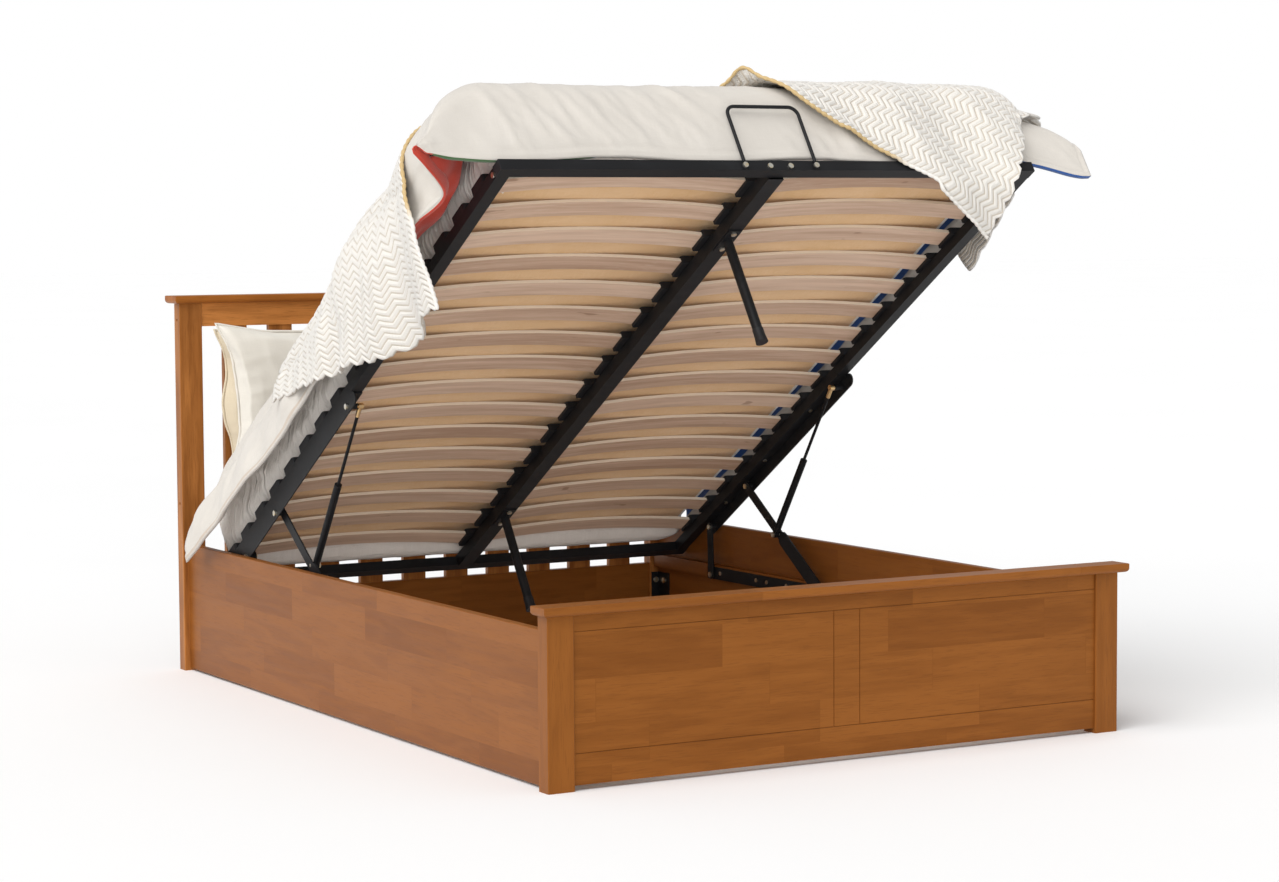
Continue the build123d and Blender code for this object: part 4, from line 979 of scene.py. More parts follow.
def cover_surface(across, along, settings):
    """Where a point of a cloth laid over the mattress comes to lie, as (x, u, w).

    across is its distance from the bed's middle and along from the top's foot edge, both
    measured on the cloth. The sides and the foot end go round a quarter circle and then hang:
    the sides swell out to their reach and come down to their hem, and what is longer hangs
    straight down as the lifted platform leans."""
    round_foot = settings.foot_round
    side = np.sign(across)
    place = np.maximum(along + round_foot, 0.0)
    round_side = settings.shoulder + settings.corner_round * (1 - smoothstep(place, 0.20, 0.48))
    round_side = np.where(side < 0, round_side, settings.shoulder)
    reach = by_side(side, place, LEFT_REACH, RIGHT_REACH)
    hem = by_side(side, place, LEFT_HEM, RIGHT_HEM)
    beyond = np.maximum(np.abs(across) - settings.flat_half, 0.0)
    turn = np.minimum(beyond / round_side, math.pi / 2)
    run = np.maximum(beyond - round_side * math.pi / 2, 0.0)
    drop_full = settings.top - round_side - hem
    run_full = np.sqrt(drop_full ** 2 + (reach * 0.85) ** 2) + 0.01
    share = np.minimum(run / run_full, 1.0)
    below = np.maximum(run - run_full, 0.0)
    fullness = SIDE_FULLNESS + FOOT_FULLNESS * (1 - smoothstep(place, 0.05, 0.16))
    whole = np.minimum(beyond / (round_side * math.pi / 2 + run_full), 1.0)
    at_corner = (1 - smoothstep(place, 0.03, 0.15)) * (side < 0)
    widening = (share + fullness * np.sin(share * math.pi)) * smoothstep(share, 0.0, 0.3)
    out = round_side * np.sin(turn) + reach * (widening + at_corner * (whole ** 2 - widening))
    fall = drop_full * (share - SIDE_BELLY * np.sin(share * math.pi))
    fall = round_side * (1 - np.cos(turn)) + fall
    x = side * (np.minimum(np.abs(across), settings.flat_half) + out)
    crown = settings.crown * (1 - np.minimum(np.abs(across) / settings.flat_half, 1.0) ** 2)
    w = settings.top + crown * smoothstep(place, 0.0, 0.12) - fall - below * DOWN_W
    u = place + SIDE_LEAN * run * smoothstep(place, 0.05, 0.4) + below * DOWN_U
    foot = np.maximum(-along, 0.0)
    turn_foot = np.minimum(foot / round_foot, math.pi / 2)
    run_foot = np.maximum(foot - round_foot * math.pi / 2, 0.0)
    hem_rise = np.where(side < 0, LEFT_HEM_RISE * smoothstep(np.abs(x), 0.78, 0.89),
                        RIGHT_HEM_RISE * smoothstep(np.abs(x), 0.68, 0.86))
    foot_hem = settings.foot_hem + hem_rise
    full = settings.top - settings.foot_hem - round_foot
    sunk = round_foot * (1 - np.cos(turn_foot)) + np.minimum(run_foot, full)
    portion = sunk / (round_foot + full)
    w = np.where(foot > 0, w + portion * (np.minimum(foot_hem, w) - w), w)
    foot_u = settings.foot_face + (round_foot - settings.foot_face) * (1 - np.sin(turn_foot))
    u = np.where(foot > 0, foot_u + below * DOWN_U, u)
    past = np.maximum(run_foot - full, 0.0)
    over_tube = np.minimum(past, OVER_TUBE)
    hanging = past - over_tube
    return np.stack([x, u + hanging * DOWN_U, w - over_tube - hanging * DOWN_W], axis=-1)


def hem_ridge(distance, width):
    """A hem: a thicker band with a stitched groove at its inner side."""
    band = 1 - smoothstep(distance, width * 0.8, width)
    return HEM_HEIGHT * band - STITCH_DEPTH * bump(distance, width, 0.003)


def wing_share(across, along):
    """One at the two foot corners of the duvet, nought elsewhere."""
    return smoothstep(np.abs(across), 0.64, 0.74) * smoothstep(-along, -0.10, 0.0)


def duvet_rise(across, along):
    """Height of the duvet's puffs and creases over its smooth surface.

    Puffs are products of slow sines. Long soft creases lie over the top, finer slanted ones on the
    foot end, and the hanging sides wave along their length. The foot corners are kept smooth."""
    puff = 0.006 * np.sin(across * 7.3 + along * 2.1) * np.sin(along * 6.1 + 0.7)
    puff = puff + 0.004 * np.sin(across * 15.0 - along * 11.0 + 1.3)
    soft = creases(across, along, *TOP_CREASES)
    on_foot = smoothstep(-along, -0.05, 0.05)
    behind_hoop = 1 - 0.7 * smoothstep(-along, 0.03, 0.08) * bump(across, 0.0, 0.13)
    foot_folds = creases(across, along * 1.2, *FOOT_FOLDS) * on_foot * behind_hoop
    fine_folds = creases(across, along, *FINE_FOOT_FOLDS) * on_foot * behind_hoop
    foot_folds = foot_folds + fine_folds
    on_side = smoothstep(np.abs(across), 0.66, 0.76)
    hang = (np.abs(across) - 0.7) / 0.2
    side_folds = on_side * hang * (0.010 * np.sin(along * 17.0 + across * 4.0)
                                   + 0.006 * np.sin(along * 41.0 - across * 9.0 + 1.0))
    side_folds = side_folds + on_side * creases(across, along, *SIDE_CREASES)
    rise = puff * (1 - 0.6 * on_foot) + soft + foot_folds + side_folds
    return rise * (1 - 0.8 * wing_share(across, along)) * (1 - 0.65 * bump(along, -0.03, 0.09))


def left_length(across, along):
    """How many times longer the left side hangs near its foot corner."""
    return 1 + LEFT_CORNER_SHARE * smoothstep(-across, 0.66, 0.80) * (1 - smoothstep(along, 0.12, 0.38))


def flap_surface(across, along, settings):
    """The cover surface with the left flap's hem drawn in behind its foot corner."""
    local = cover_surface(across, along, settings)
    local[..., 0] += 0.034 * smoothstep(-across, 0.85, 0.96) * bump(along, 0.07, 0.075)
    return local


DUVET_COLUMNS = 250
DUVET_FOOT_ROWS = 46
DUVET_HEAD_ROWS = 200


def build_duvet(settings):
    """The duvet: the cover surface with puffs, creases and hems, and a longer strip at the left."""
    left, right = -DUVET_LEFT, DUVET_RIGHT
    foot_length = (settings.foot_round * math.pi / 2 + settings.top - settings.foot_hem
                   - settings.foot_round)
    across = np.linspace(left, right, DUVET_COLUMNS)[None, :]
    foot_rows = np.linspace(-foot_length, 0.0, DUVET_FOOT_ROWS)[:-1]
    head_rows = np.linspace(0.0, 1.0, DUVET_HEAD_ROWS)
    strip = smoothstep(np.abs(across), 0.60, 0.76)
    beyond = 0.19 + 0.14 * smoothstep(-across, 0.70, 0.90) + 0.09 * (across > 0)
    head = settings.head - settings.foot_round + strip * beyond
    head = head + 0.012 * np.sin(across * 9.0) + 0.01 * np.sin(across * 23.0)
    foot_share = 1 - 0.75 * smoothstep(-across, 0.826, DUVET_LEFT)
    along = np.concatenate([foot_rows[:, None] * foot_share, head_rows[:, None] * head], axis=0)
    longer = left_length(across, along)
    across = across * longer
    local = flap_surface(across, along, settings)
    normal = blurred(-grid_normals(local), 12)
    wing = wing_share(across, along)
    edge = np.minimum(across - left * longer, right - across)
    edge = np.minimum(edge, along + foot_length * foot_share)
    rise = duvet_rise(across, along) * smoothstep(edge, -0.01, 0.05) - 0.006 + hem_ridge(edge, HEM_WIDTH)
    local = local + normal * rise[..., None]
    local[..., 2] += 0.006 * smoothstep(-along, 0.14, foot_length) * np.sin(across * 13.0 + 0.5)
    piece = grid_piece("duvet_cover", platform_to_bed(local), np.stack([across, along], axis=-1))
    thin = np.where(across < 0, 0.35 + 0.40 * smoothstep(-across, 0.80, 0.90), 0.25)
    full_edge = np.maximum(smoothstep(edge, 0.0, 0.02), wing * smoothstep(-along, 0.10, 0.20))
    give_thickness(piece, settings.thickness, (1 - thin * wing) * (0.5 + 0.5 * full_edge))
    return piece


# Where the turned-in corner meets the mattress, as (x, u, w), top first
CORNER_INNER = ((-0.698, 0.085, 0.105), (-0.700, 0.150, 0.070), (-0.702, 0.205, 0.043),
                (-0.704, 0.280, 0.042), (-0.704, 0.400, 0.060))
CORNER_TOP = -0.05
CORNER_END = 0.26


def build_duvet_corner(settings):
    """The corner of the duvet that turns in behind its left flap and shows the reverse.

    It spans from the flap's hem to the mattress, and swells by sin(down) sin(in) between."""
    down = np.linspace(0.0, 1.0, 64)[:, None]
    inward = np.linspace(0.04, 1.0, 30)[None, :]
    along = CORNER_TOP + (CORNER_END - CORNER_TOP) * down
    across = -DUVET_LEFT * left_length(np.full_like(along, -DUVET_LEFT), along)
    hem = flap_surface(across, along, settings)
    inner = np.array(CORNER_INNER)
    shares = np.linspace(0.0, 1.0, len(inner))
    mattress_side = np.stack([spline_values(down, shares, inner[:, axis]) for axis in range(3)], axis=-1)
    points = hem * (1 - inward[..., None]) + mattress_side * inward[..., None]
    puff = np.sin(down * math.pi) ** 0.7 * np.sin(inward * math.pi)
    ripple = 0.004 * np.sin(down * 15.0) * np.sin(inward * 9.0)
    points = points - grid_normals(points) * (0.014 * puff + ripple)[..., None]
    uv = np.stack(np.broadcast_arrays(-DUVET_LEFT + inward * 0.05, down * 0.2), axis=-1)
    piece = grid_piece("duvet_corner", platform_to_bed(points), uv)
    give_thickness(piece, settings.thickness / 3)
    return piece


def duvet_cotton_material(settings):
    """The outer cotton, with a beige seam along the left hem."""
    material, net, _, cloth, uv = cotton_material("Duvet cotton", settings.colour)
    across, along, _ = net.parts(uv)
    seam = net.band(net.times(across, -1.0), 0.882, 0.884, 0.888, 0.890)
    seam = net.times(seam, net.ramp(along, 0.40, 0.46))
    net.feed(cloth.inputs["Color"], net.mix(net.times(seam, 0.40), settings.colour, settings.seam))
    return material


def duvet_reverse_material(settings):
    """The reverse: navy, with red at the left foot corner, green beside it, and plain hems."""
    material, net, _, cloth, uv = cotton_material("Duvet reverse", settings.navy, tone=0.03)
    across, along, _ = net.parts(uv)
    foot = net.times(along, -1.0)
    left = net.times(across, -1.0)
    near_foot = net.ramp(foot, -0.32, -0.28)
    foot_hem = net.ramp(foot, settings.hem_line - 0.03, settings.hem_line - 0.028)
    head_hem = net.times(net.ramp(along, 1.455, 1.46), net.band(across, -0.66, -0.62, 0.62, 0.66))
    side_hem = net.times(net.ramp(across, 0.853, 0.856), net.ramp(along, 0.0, 0.01))
    left_hem = net.times(net.ramp(left, 0.70, 0.72), net.minus(1.0, near_foot))
    red = net.times(net.ramp(left, 0.60, 0.62), near_foot)
    green = net.times(foot_hem, net.band(across, -0.88, -0.86, -0.46, -0.44))
    plain = net.times(foot_hem, net.band(across, -0.46, -0.44, 0.60, 0.62))
    colour = net.mix(red, settings.navy, settings.red)
    colour = net.mix(green, colour, settings.green)
    for share in (plain, side_hem, left_hem, head_hem):
        colour = net.mix(share, colour, settings.colour)
    net.feed(cloth.inputs["Color"], colour)
    return material


class BED_OT_duvet(bpy.types.Operator):
    """Build the duvet over the mattress"""
    bl_idname = "bed.duvet"
    bl_label = "Duvet"

    def execute(self, context):
        """The cover, then its turned-in corner, with the same cotton and reverse."""
        settings = context.scene.bed_duvet
        cover = build_duvet(settings)
        corner = build_duvet_corner(settings)
        materials = (duvet_cotton_material(settings), duvet_reverse_material(settings))
        for piece in (cover, corner):
            for material in materials:
                piece.data.materials.append(material)
            piece.modifiers["Thickness"].material_offset = 1
        cover.modifiers["Thickness"].material_offset_rim = 1
        put_on(cover, "platform", "duvet_cotton", "duvet")
        put_on(corner, "platform", "duvet_cotton")
        return {"FINISHED"}


# The throw's cord edge on the cloth, by shares of its length
THROW_EDGE_SHARES = (0.0, 0.117, 0.192, 0.395, 0.57, 0.637, 0.704, 0.837, 1.0)
THROW_EDGE_ACROSS = (-1.196, -0.966, -0.80, -0.42, -0.05, 0.02, 0.10, 0.30, 0.536)
THROW_EDGE_ALONG = (0.088, 0.149, 0.150, 0.150, 0.110, -0.005, -0.115, -0.265, -0.457)
THROW_LEAN_LEFT = 0.350
THROW_LEAN_RIGHT = 0.575
THROW_NARROWS = 0.24
SLOPE_STEP = 0.002
# Heights of the shoulder's fold, the peak and the curl at the edge, and the gap under the throw
SHOULDER_FOLD = 0.040
PEAK_HEIGHT = 0.024
CURL_HEIGHT = 0.006
THROW_GAP = 0.006
# How far the hanging corner is drawn in
CORNER_PULL = 0.05
# The cord's points along it, its place beyond the edge, its radius and how much a bead adds
CORD_POINTS = 1100
CORD_DEPTH = -0.002
CORD_RADIUS = 0.0031
CORD_BEAD = 0.6
STITCH_LENGTH = 0.0055
STITCH_WIDTH = 0.0045
# Shares of the wool's colour for the painted shade in the grooves, and the colour of its clouds
WOOL_GROOVE_PAINTED_SHADE = (0.66, 0.58, 0.48)
WOOL_CLOUD = (0.70, 0.62, 0.52)


def throw_places(shares, depth):
    """Cloth places (across, along) of the throw: its cord edge, then straight away from it.

    The direction away from the edge turns from the left lean to the right lean."""
    across = spline_values(shares, THROW_EDGE_SHARES, THROW_EDGE_ACROSS)
    along = spline_values(shares, THROW_EDGE_SHARES, THROW_EDGE_ALONG)
    lean = THROW_LEAN_LEFT + (THROW_LEAN_RIGHT - THROW_LEAN_LEFT) * smoothstep(shares, 0.4, 1.0)
    depth = depth * (1 - THROW_NARROWS * smoothstep(shares, 0.0, 0.35))
    return across + np.sin(lean) * depth, along + np.cos(lean) * depth


def throw_surface(run, depth, settings, cover):
    """The throw's local points, lifted off the duvet, and the normals they are lifted along.

    The height over the duvet is the sum of hanging folds sin(along), a fold at the shoulder, creases
    on the foot end, a small peak, and the curl of the cord edge. The hanging corner is drawn in
    towards the platform."""
    shares = np.clip(run / settings.length, 0.0, 1.0)
    across, along = throw_places(shares, depth)
    local = cover_surface(across, along, cover)
    aside = cover_surface(across + SLOPE_STEP, along, cover)
    ahead = cover_surface(across, along + SLOPE_STEP, cover)
    normal = blurred(unit(np.cross(aside - local, ahead - local)), 12)
    local[..., 0] += CORNER_PULL * smoothstep(-across, 0.98, 1.20) * (1 - smoothstep(along, 0.2, 0.8))
    on_side = smoothstep(-across, 0.62, 0.78)
    hang = np.clip((-across - 0.66) / 0.45, 0.0, 1.0)
    hang = hang * (1 - 0.8 * bump(depth, 0.0, 0.08) * smoothstep(across, -1.0, -0.9))
    folds = 0.020 * np.sin(along * 14.0 + across * 5.0 + 0.4) + 0.010 * np.sin(along * 33.0 + 2.0)
    lift = on_side * hang * folds
    lift = lift + SHOULDER_FOLD * bump(across, -0.76, 0.10) * bump(along, 0.52, 0.14)
    on_foot = smoothstep(-along, 0.0, 0.2) * smoothstep(across, -0.1, 0.1)
    lift = lift + on_foot * (0.011 * np.sin(across * 26.0 + along * 9.0) + 0.008)
    lift = lift + PEAK_HEIGHT * bump(across, 0.025, 0.015) * bump(depth, 0.0, 0.030)
    within = smoothstep(shares, 0.1, 0.2) * (1 - smoothstep(shares, 0.85, 0.95))
    lift = lift + CURL_HEIGHT * bump(depth, 0.0, 0.02) * within
    under = np.maximum(duvet_rise(across, along), 0.0) * (1 - smoothstep(np.abs(across), 0.84, 0.96))
    soft = creases(across, along, *THROW_CREASES)
    at_corner = bump(depth, 0.0, 0.10) * bump(across, -0.80, 0.16)
    lift = (lift + under + soft) * (1 - 0.9 * at_corner) + THROW_GAP
    return local + normal * lift[..., None], normal


def build_throw(settings, cover):
    """A grid whose rows follow the zigzags, with rounded ribs between narrow grooves."""
    rib_count = round(settings.length / settings.rib)
    run = np.linspace(0.0, settings.length, rib_count * 4 + 1)[:, None]
    zigzag_count = round(settings.width / settings.zigzag)
    depth = np.linspace(0.0, settings.width, zigzag_count * 4 + 1)[None, :]
    cell = depth / settings.zigzag
    zigzag = settings.swing * (4 * np.abs(cell - np.floor(cell + 0.5)) - 1)
    local, normal = throw_surface(run + zigzag, depth, settings, cover)
    rib = np.abs(np.sin(run * math.pi / settings.rib)) ** 0.7
    local = local + normal * (rib * settings.relief)[..., None]
    uv = np.stack(np.broadcast_arrays(run, depth), axis=-1)
    piece = grid_piece("throw_knit", platform_to_bed(local), uv, flip=True)
    give_thickness(piece, settings.thickness)
    return piece


def knit_material(settings):
    """Wool in rows of plump stitches, on the piece's uv in metres, with painted shade in the grooves
    between the ribs.
    """
    material, net, shader = new_material("Knitted wool")
    uv = net.uv()
    run, depth, _ = net.parts(uv)
    stitches = net.times(net.ripple(depth, STITCH_LENGTH), net.ripple(run, STITCH_WIDTH))
    fuzz = net.noise(uv, 900.0)
    cloud = net.noise(uv, 12.0)
    # Painted shade: the grooves between the ribs are darkened towards the wool's shaded colour
    groove = net.minus(1.0, net.ramp(net.ripple(run, settings.rib), 0.0, 0.62))
    dark = [part * share for part, share in zip(settings.wool, WOOL_GROOVE_PAINTED_SHADE)]
    colour = net.mix(net.times(groove, 0.85), settings.wool, dark)
    colour = net.mix(net.times(cloud, 0.12), colour, WOOL_CLOUD)
    net.fill(shader, {"Base Color": colour, "Roughness": net.plus(0.8, net.times(fuzz, 0.15)),
                      "Sheen Weight": 0.4, "Sheen Roughness": 0.45})
    bumped(net, shader, net.plus(stitches, net.times(fuzz, 0.4)), 0.7, 0.0016)
    return material


def build_throw_cord(settings, cover):
    """The crocheted cord: a beaded tube carried along the throw's edge.

    Its radius is r (1 + b |sin|) with a bead for every rib."""
    run = np.linspace(0.0, settings.length, CORD_POINTS)
    local, normal = throw_surface(run[:, None], np.array([[CORD_DEPTH]]), settings, cover)
    line, normal = local[:, 0], normal[:, 0]
    second = np.cross(unit(np.gradient(line, axis=0)), normal)
    radius = CORD_RADIUS * (1 + CORD_BEAD * np.abs(np.sin(run * math.pi / settings.rib)))
    rings = tube_rings(line, normal, second, radius[:, None, None])
    angle = np.linspace(0.0, math.tau, TUBE_SIDES + 1)[:-1]
    uv = np.stack(np.broadcast_arrays(run[:, None], angle[None, :]), axis=-1)
    first_cap = list(range(TUBE_SIDES))
    last_cap = [CORD_POINTS * TUBE_SIDES - TUBE_SIDES + index for index in first_cap]
    faces = grid_faces(CORD_POINTS, TUBE_SIDES, wrap=True)
    return mesh_piece("throw_cord", platform_to_bed(rings), faces, uv, [first_cap[::-1], last_cap])


def cord_material(settings):
    """Golden crochet that turns to plain wool where the edge hangs free."""
    material, net, shader = new_material("Crochet cord")
    golden = net.band(net.parts(net.uv())[0], 0.20, 0.25, 1.55, 1.63)
    fuzz = net.noise(object_vector(net), 500.0)
    colour = net.mix(golden, settings.wool, settings.cord)
    net.fill(shader, {"Base Color": net.mix(net.times(fuzz, 0.3), colour, settings.wool),
                      "Roughness": net.plus(0.75, net.times(fuzz, 0.2))})
    bumped(net, shader, fuzz, 0.6, 0.001)
    return material


class BED_OT_throw(bpy.types.Operator):
    """Build the knitted throw with its crocheted edge"""
    bl_idname = "bed.throw"
    bl_label = "Throw"

    def execute(self, context):
        """One sheet with the cord along its edge."""
        settings = context.scene.bed_throw
        cover = context.scene.bed_duvet
        piece = build_throw(settings, cover)
        piece.data.materials.append(knit_material(settings))
        put_on(piece, "platform", "throw_knit", "throw")
        cord = build_throw_cord(settings, cover)
        cord.data.materials.append(cord_material(settings))
        put_on(cord, "platform", "throw_knit")
        return {"FINISHED"}


PILLOW_COLUMNS = 73
PILLOW_ROWS = 43
PILLOW_UV = (0.64, 0.36)
PIPING_RADIUS = 0.0032
SWELL_FRAMES = 20


def pillow_grid(width, height, thickness, draw_in):
    """Two crowned faces that meet in a seam, drawn in between the four corners.

    Thickness at (s, t) is thickness (1 - s^4)^0.5 (1 - t^4)^0.5, and a side's middle is drawn in
    by draw_in (1 - s^2)."""
    s = np.linspace(-1.0, 1.0, PILLOW_COLUMNS)[None, :]
    t = np.linspace(-1.0, 1.0, PILLOW_ROWS)[:, None]
    x = s * width / 2 - s * draw_in * width / 2 * (1 - t ** 2)
    z = t * height / 2 - t * draw_in * height / 2 * (1 - s ** 2)
    depth = thickness / 2 * np.sqrt(np.maximum((1 - s ** 4) * (1 - t ** 4), 0.0))
    return np.stack([x, -depth, z], axis=-1), np.stack([x, depth, z], axis=-1)


def join_faces(name, front, back):
    """One closed mesh from two grids that share their border."""
    rows, columns = front.shape[:2]
    count = rows * columns
    inside = np.zeros((rows, columns), bool)
    inside[1:-1, 1:-1] = True
    other = np.arange(count).reshape(rows, columns)
    other[inside] = count + np.arange(inside.sum())
    faces = grid_faces(rows, columns)
    uv = np.stack(np.meshgrid(np.linspace(0, 1, columns), np.linspace(0, 1, rows)), axis=-1)
    return mesh_piece(name, np.concatenate([front.reshape(-1, 3), back[inside]]),
                      np.concatenate([faces, other.ravel()[faces][:, ::-1]]),
                      np.concatenate([uv.reshape(-1, 2), uv[inside]]) * PILLOW_UV)


def swell(piece, pressure, cap):
    """Blow a closed piece up with a short cloth simulation, and cap how far its points go."""
    rest = read_points(piece.data.vertices)
    cloth = piece.modifiers.new("Cloth", "CLOTH")
    cloth.settings.use_pressure = True
    cloth.settings.uniform_pressure_force = pressure
    cloth.settings.effector_weights.gravity = 0.0
    cloth.settings.shrink_min = -0.03
    cloth.settings.tension_stiffness = 25.0
    cloth.settings.compression_stiffness = 25.0
    cloth.settings.bending_stiffness = 0.4
    cloth.collision_settings.use_collision = False
    scene = bpy.context.scene
    for number in range(1, SWELL_FRAMES + 1):
        scene.frame_set(number)
    graph = bpy.context.evaluated_depsgraph_get()
    shift = read_points(piece.evaluated_get(graph).data.vertices) - rest
    piece.modifiers.remove(cloth)
    size = np.linalg.norm(shift, axis=1, keepdims=True)
    write_points(piece, rest + shift * np.minimum(1.0, cap / np.maximum(size, 1e-9)))
    scene.frame_set(1)


def place_pillow(piece, box, crease_seed, shift, lean, sag):
    """Fit a pillow to its box, shifted across, with creases that run in from its seams.

    Its outer side leans in towards the foot of the side, by lean, and sags out low down by sag."""
    low, high = np.array(box[0]), np.array(box[1])
    outwards = np.sign(low[0] + high[0])
    points = read_points(piece.data.vertices)
    size = points.max(axis=0) - points.min(axis=0)
    middle = (points.max(axis=0) + points.min(axis=0)) / 2
    span = high - low
    scaled = (points - middle) * np.minimum(span / size, 1.08)
    s = scaled[:, 0] / (span[0] / 2)
    t = scaled[:, 2] / (span[2] / 2)
    face = np.sign(scaled[:, 1])
    seam = np.clip(1 - np.maximum(np.abs(s), np.abs(t)), 0.0, 1.0)
    lines = creases(scaled[:, 0], scaled[:, 2], crease_seed, *PILLOW_CREASES)
    outer = smoothstep(s * outwards, 0.0, 1.0)
    fold = bump(t, -0.05, 0.35) - 2.5 * smoothstep(-t, 0.30, 1.0)
    near_seam = smoothstep(seam, 0.0, 0.12) * (1 - 0.6 * smoothstep(seam, 0.25, 0.8))
    scaled[:, 0] += outwards * outer * (lean * (t - 0.6) + sag * fold)
    scaled[:, 1] += face * (lines - 0.004) * near_seam
    write_points(piece, scaled + (low + high) / 2 + np.array([shift, 0.0, 0.0]))


def pillow_piping(name, source):
    """A round seam carried along the pillow's border."""
    points = read_points(source.data.vertices)[:PILLOW_ROWS * PILLOW_COLUMNS]
    points = points.reshape(PILLOW_ROWS, PILLOW_COLUMNS, 3)
    line = np.concatenate([points[0, :-1], points[:-1, -1], points[-1, :0:-1], points[:0:-1, 0]])
    tangent = unit(np.roll(line, -1, axis=0) - np.roll(line, 1, axis=0))
    first = np.tile(np.array([0.0, 1.0, 0.0]), (len(line), 1))
    rings = tube_rings(line, first, unit(np.cross(tangent, first)), PIPING_RADIUS)
    faces = grid_faces(len(line) + 1, TUBE_SIDES, wrap=True) % (len(line) * TUBE_SIDES)
    uv = np.zeros((len(line), TUBE_SIDES, 2))
    uv[..., 0] = np.arange(len(line))[:, None] * 0.01
    return mesh_piece(name, rings, faces[:, ::-1], uv)


class BED_OT_pillows(bpy.types.Operator):
    """Build the four pillows"""
    bl_idname = "bed.pillows"
    bl_label = "Pillows"

    def execute(self, context):
        """The first pillow is swollen, and the others start from its shape."""
        settings = context.scene.bed_pillows
        cotton = {
            "back": cotton_material("Back pillow cotton", settings.back)[0],
            "front": cotton_material("Front pillow cotton", settings.front)[0],
        }
        swollen = None
        for number, name in enumerate(("back_left", "back_right", "front_left", "front_right")):
            row, side = name.split("_")
            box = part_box("pillow_" + name)
            span = box[1] - box[0]
            front, back = pillow_grid(span.x, span.z, span.y * settings.start_share, settings.draw_in)
            piece = join_faces("pillow_case_" + name, front, back)
            if swollen is not None:
                write_points(piece, swollen)
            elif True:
                swell(piece, settings.pressure, settings.swell)
            swollen = read_points(piece.data.vertices)
            in_front = row == "front"
            shift = settings.apart * (1 if side == "right" else -1) * in_front
            place_pillow(piece, box, PILLOW_SEED + number, shift, settings.lean * in_front,
                         settings.sag * (not in_front))
            piece.data.materials.append(cotton[row])
            modifier = piece.modifiers.new("Smooth", "SUBSURF")
            modifier.levels = 1
            modifier.render_levels = 1
            piping = pillow_piping("pillow_seam_" + name, piece)
            piping.data.materials.append(cotton[row])
            put_on(piece, "bed_frame", "pillow_cotton", "pillow_" + name)
            put_on(piping, "bed_frame", "pillow_cotton")
        return {"FINISHED"}


# Studio


FILL_FROM = (-0.35, -1.0, 0.06)
FLOOR_DARK = (0.94, 0.94, 0.94)
FLOOR_LIGHT = (0.97, 0.97, 0.97)


def add_sun(name, coming_from, power, softness):
    """A wide soft light from far away."""
    data = bpy.data.lights.new(name, "SUN")
    data.energy = power
    data.angle = softness
    lamp = bpy.data.objects.new(name, data)
    lamp.rotation_euler = (-Vector(coming_from)).to_track_quat("-Z", "Y").to_euler()
    bpy.context.scene.collection.objects.link(lamp)


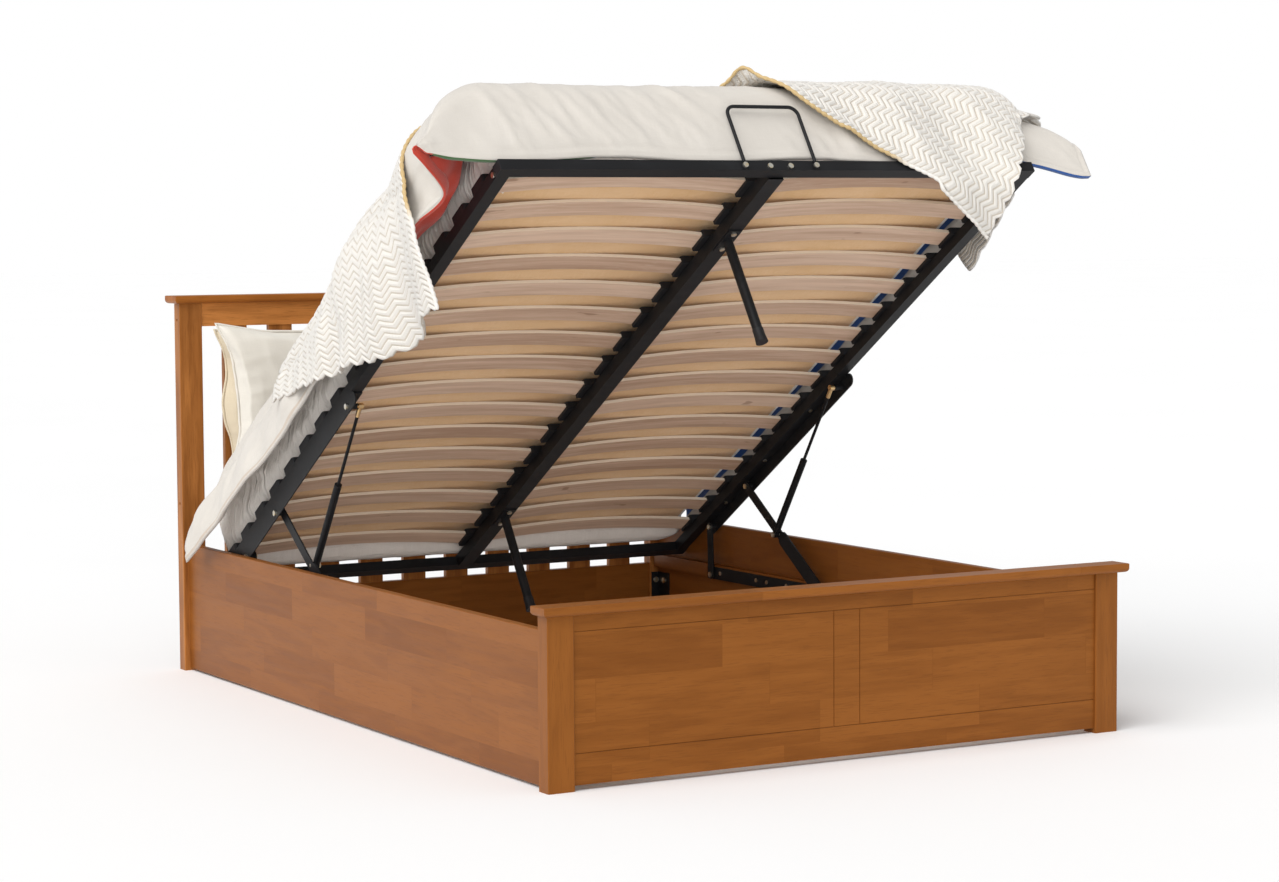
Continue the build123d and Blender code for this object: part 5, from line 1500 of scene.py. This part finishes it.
class BED_OT_studio(bpy.types.Operator):
    """Build the floor, the light and the camera"""
    bl_idname = "bed.studio"
    bl_label = "Studio"

    def execute(self, context):
        """A pale floor, a sky that the camera sees as white, two suns and the camera."""
        settings = context.scene.bed_studio
        half = settings.floor_size / 2
        corners = np.array([(-1, -1, 0), (1, -1, 0), (1, 1, 0), (-1, 1, 0)]) * half
        floor = mesh_piece("studio_floor", corners, np.array([[0, 1, 2, 3]]))
        material, net, shader = new_material("Pale floor")
        cloud = net.noise(object_vector(net), 0.6)
        net.fill(shader, {"Base Color": net.mix(cloud, FLOOR_DARK, FLOOR_LIGHT), "Roughness": 0.9,
                          "Specular IOR Level": 0.1})
        floor.data.materials.append(material)
        world = bpy.data.worlds.new("Studio")
        context.scene.world = world
        world.use_nodes = True
        sky = Net(world.node_tree)
        seen = sky.node("ShaderNodeLightPath").outputs["Is Camera Ray"]
        strength = sky.math("MULTIPLY_ADD", seen, 1.0 - settings.ambient, settings.ambient)
        sky.fill(world.node_tree.nodes["Background"], {"Color": (1.0, 1.0, 1.0), "Strength": strength})
        add_sun("key_light", settings.key_from, settings.key_power, settings.key_softness)
        add_sun("fill_light", FILL_FROM, settings.fill_power, settings.key_softness / 2)
        context.scene.view_settings.view_transform = "Standard"
        self.add_camera(context.scene, settings)
        return {"FINISHED"}

    def add_camera(self, scene, settings):
        """Point the camera by yaw, pitch and roll."""
        yaw, pitch, roll = settings.yaw, settings.pitch, settings.roll
        forward = Vector((math.sin(yaw) * math.cos(pitch), math.cos(yaw) * math.cos(pitch),
                          -math.sin(pitch)))
        level = Vector((math.cos(yaw), -math.sin(yaw), 0.0))
        up = level.cross(forward)
        right = math.cos(roll) * level + math.sin(roll) * up
        above = -math.sin(roll) * level + math.cos(roll) * up
        data = bpy.data.cameras.new("camera")
        data.sensor_width = 36.0
        data.lens = settings.lens
        data.clip_end = 200.0
        camera = bpy.data.objects.new("camera", data)
        turn = Matrix((right, above, -forward)).transposed().to_4x4()
        camera.matrix_world = Matrix.Translation(settings.place) @ turn
        scene.collection.objects.link(camera)
        scene.camera = camera


class BED_PT_panel(bpy.types.Panel):
    """Lists the pieces of the bed"""
    bl_label = "Ottoman Bed"
    bl_idname = "BED_PT_panel"
    bl_space_type = "VIEW_3D"
    bl_region_type = "UI"
    bl_category = "Ottoman Bed"

    def draw(self, context):
        """A button for every operator, then the settings of every group."""
        for operator in OPERATORS:
            self.layout.operator(operator.bl_idname)
        for key, group in SETTINGS.items():
            box = self.layout.box()
            box.label(text=group.__name__)
            for name in group.__annotations__:
                box.prop(getattr(context.scene, key), name)


OPERATORS = (BED_OT_frame_finishes, BED_OT_mattress, BED_OT_duvet, BED_OT_throw, BED_OT_pillows,
             BED_OT_studio)
CLASSES = tuple(SETTINGS.values()) + OPERATORS + (BED_PT_panel,)


def register():
    """Register the classes and give the scene its settings."""
    for item in CLASSES:
        bpy.utils.register_class(item)
    for key, group in SETTINGS.items():
        setattr(bpy.types.Scene, key, PointerProperty(type=group))


def unregister():
    """Take the settings and classes away again."""
    for key in SETTINGS:
        delattr(bpy.types.Scene, key)
    for item in reversed(CLASSES):
        bpy.utils.unregister_class(item)


def main():
    """Build every piece."""
    register()
    bpy.ops.bed.frame_finishes()
    bpy.ops.bed.mattress()
    bpy.ops.bed.duvet()
    bpy.ops.bed.throw()
    bpy.ops.bed.pillows()
    bpy.ops.bed.studio()


if __name__ == "__main__":
    main()
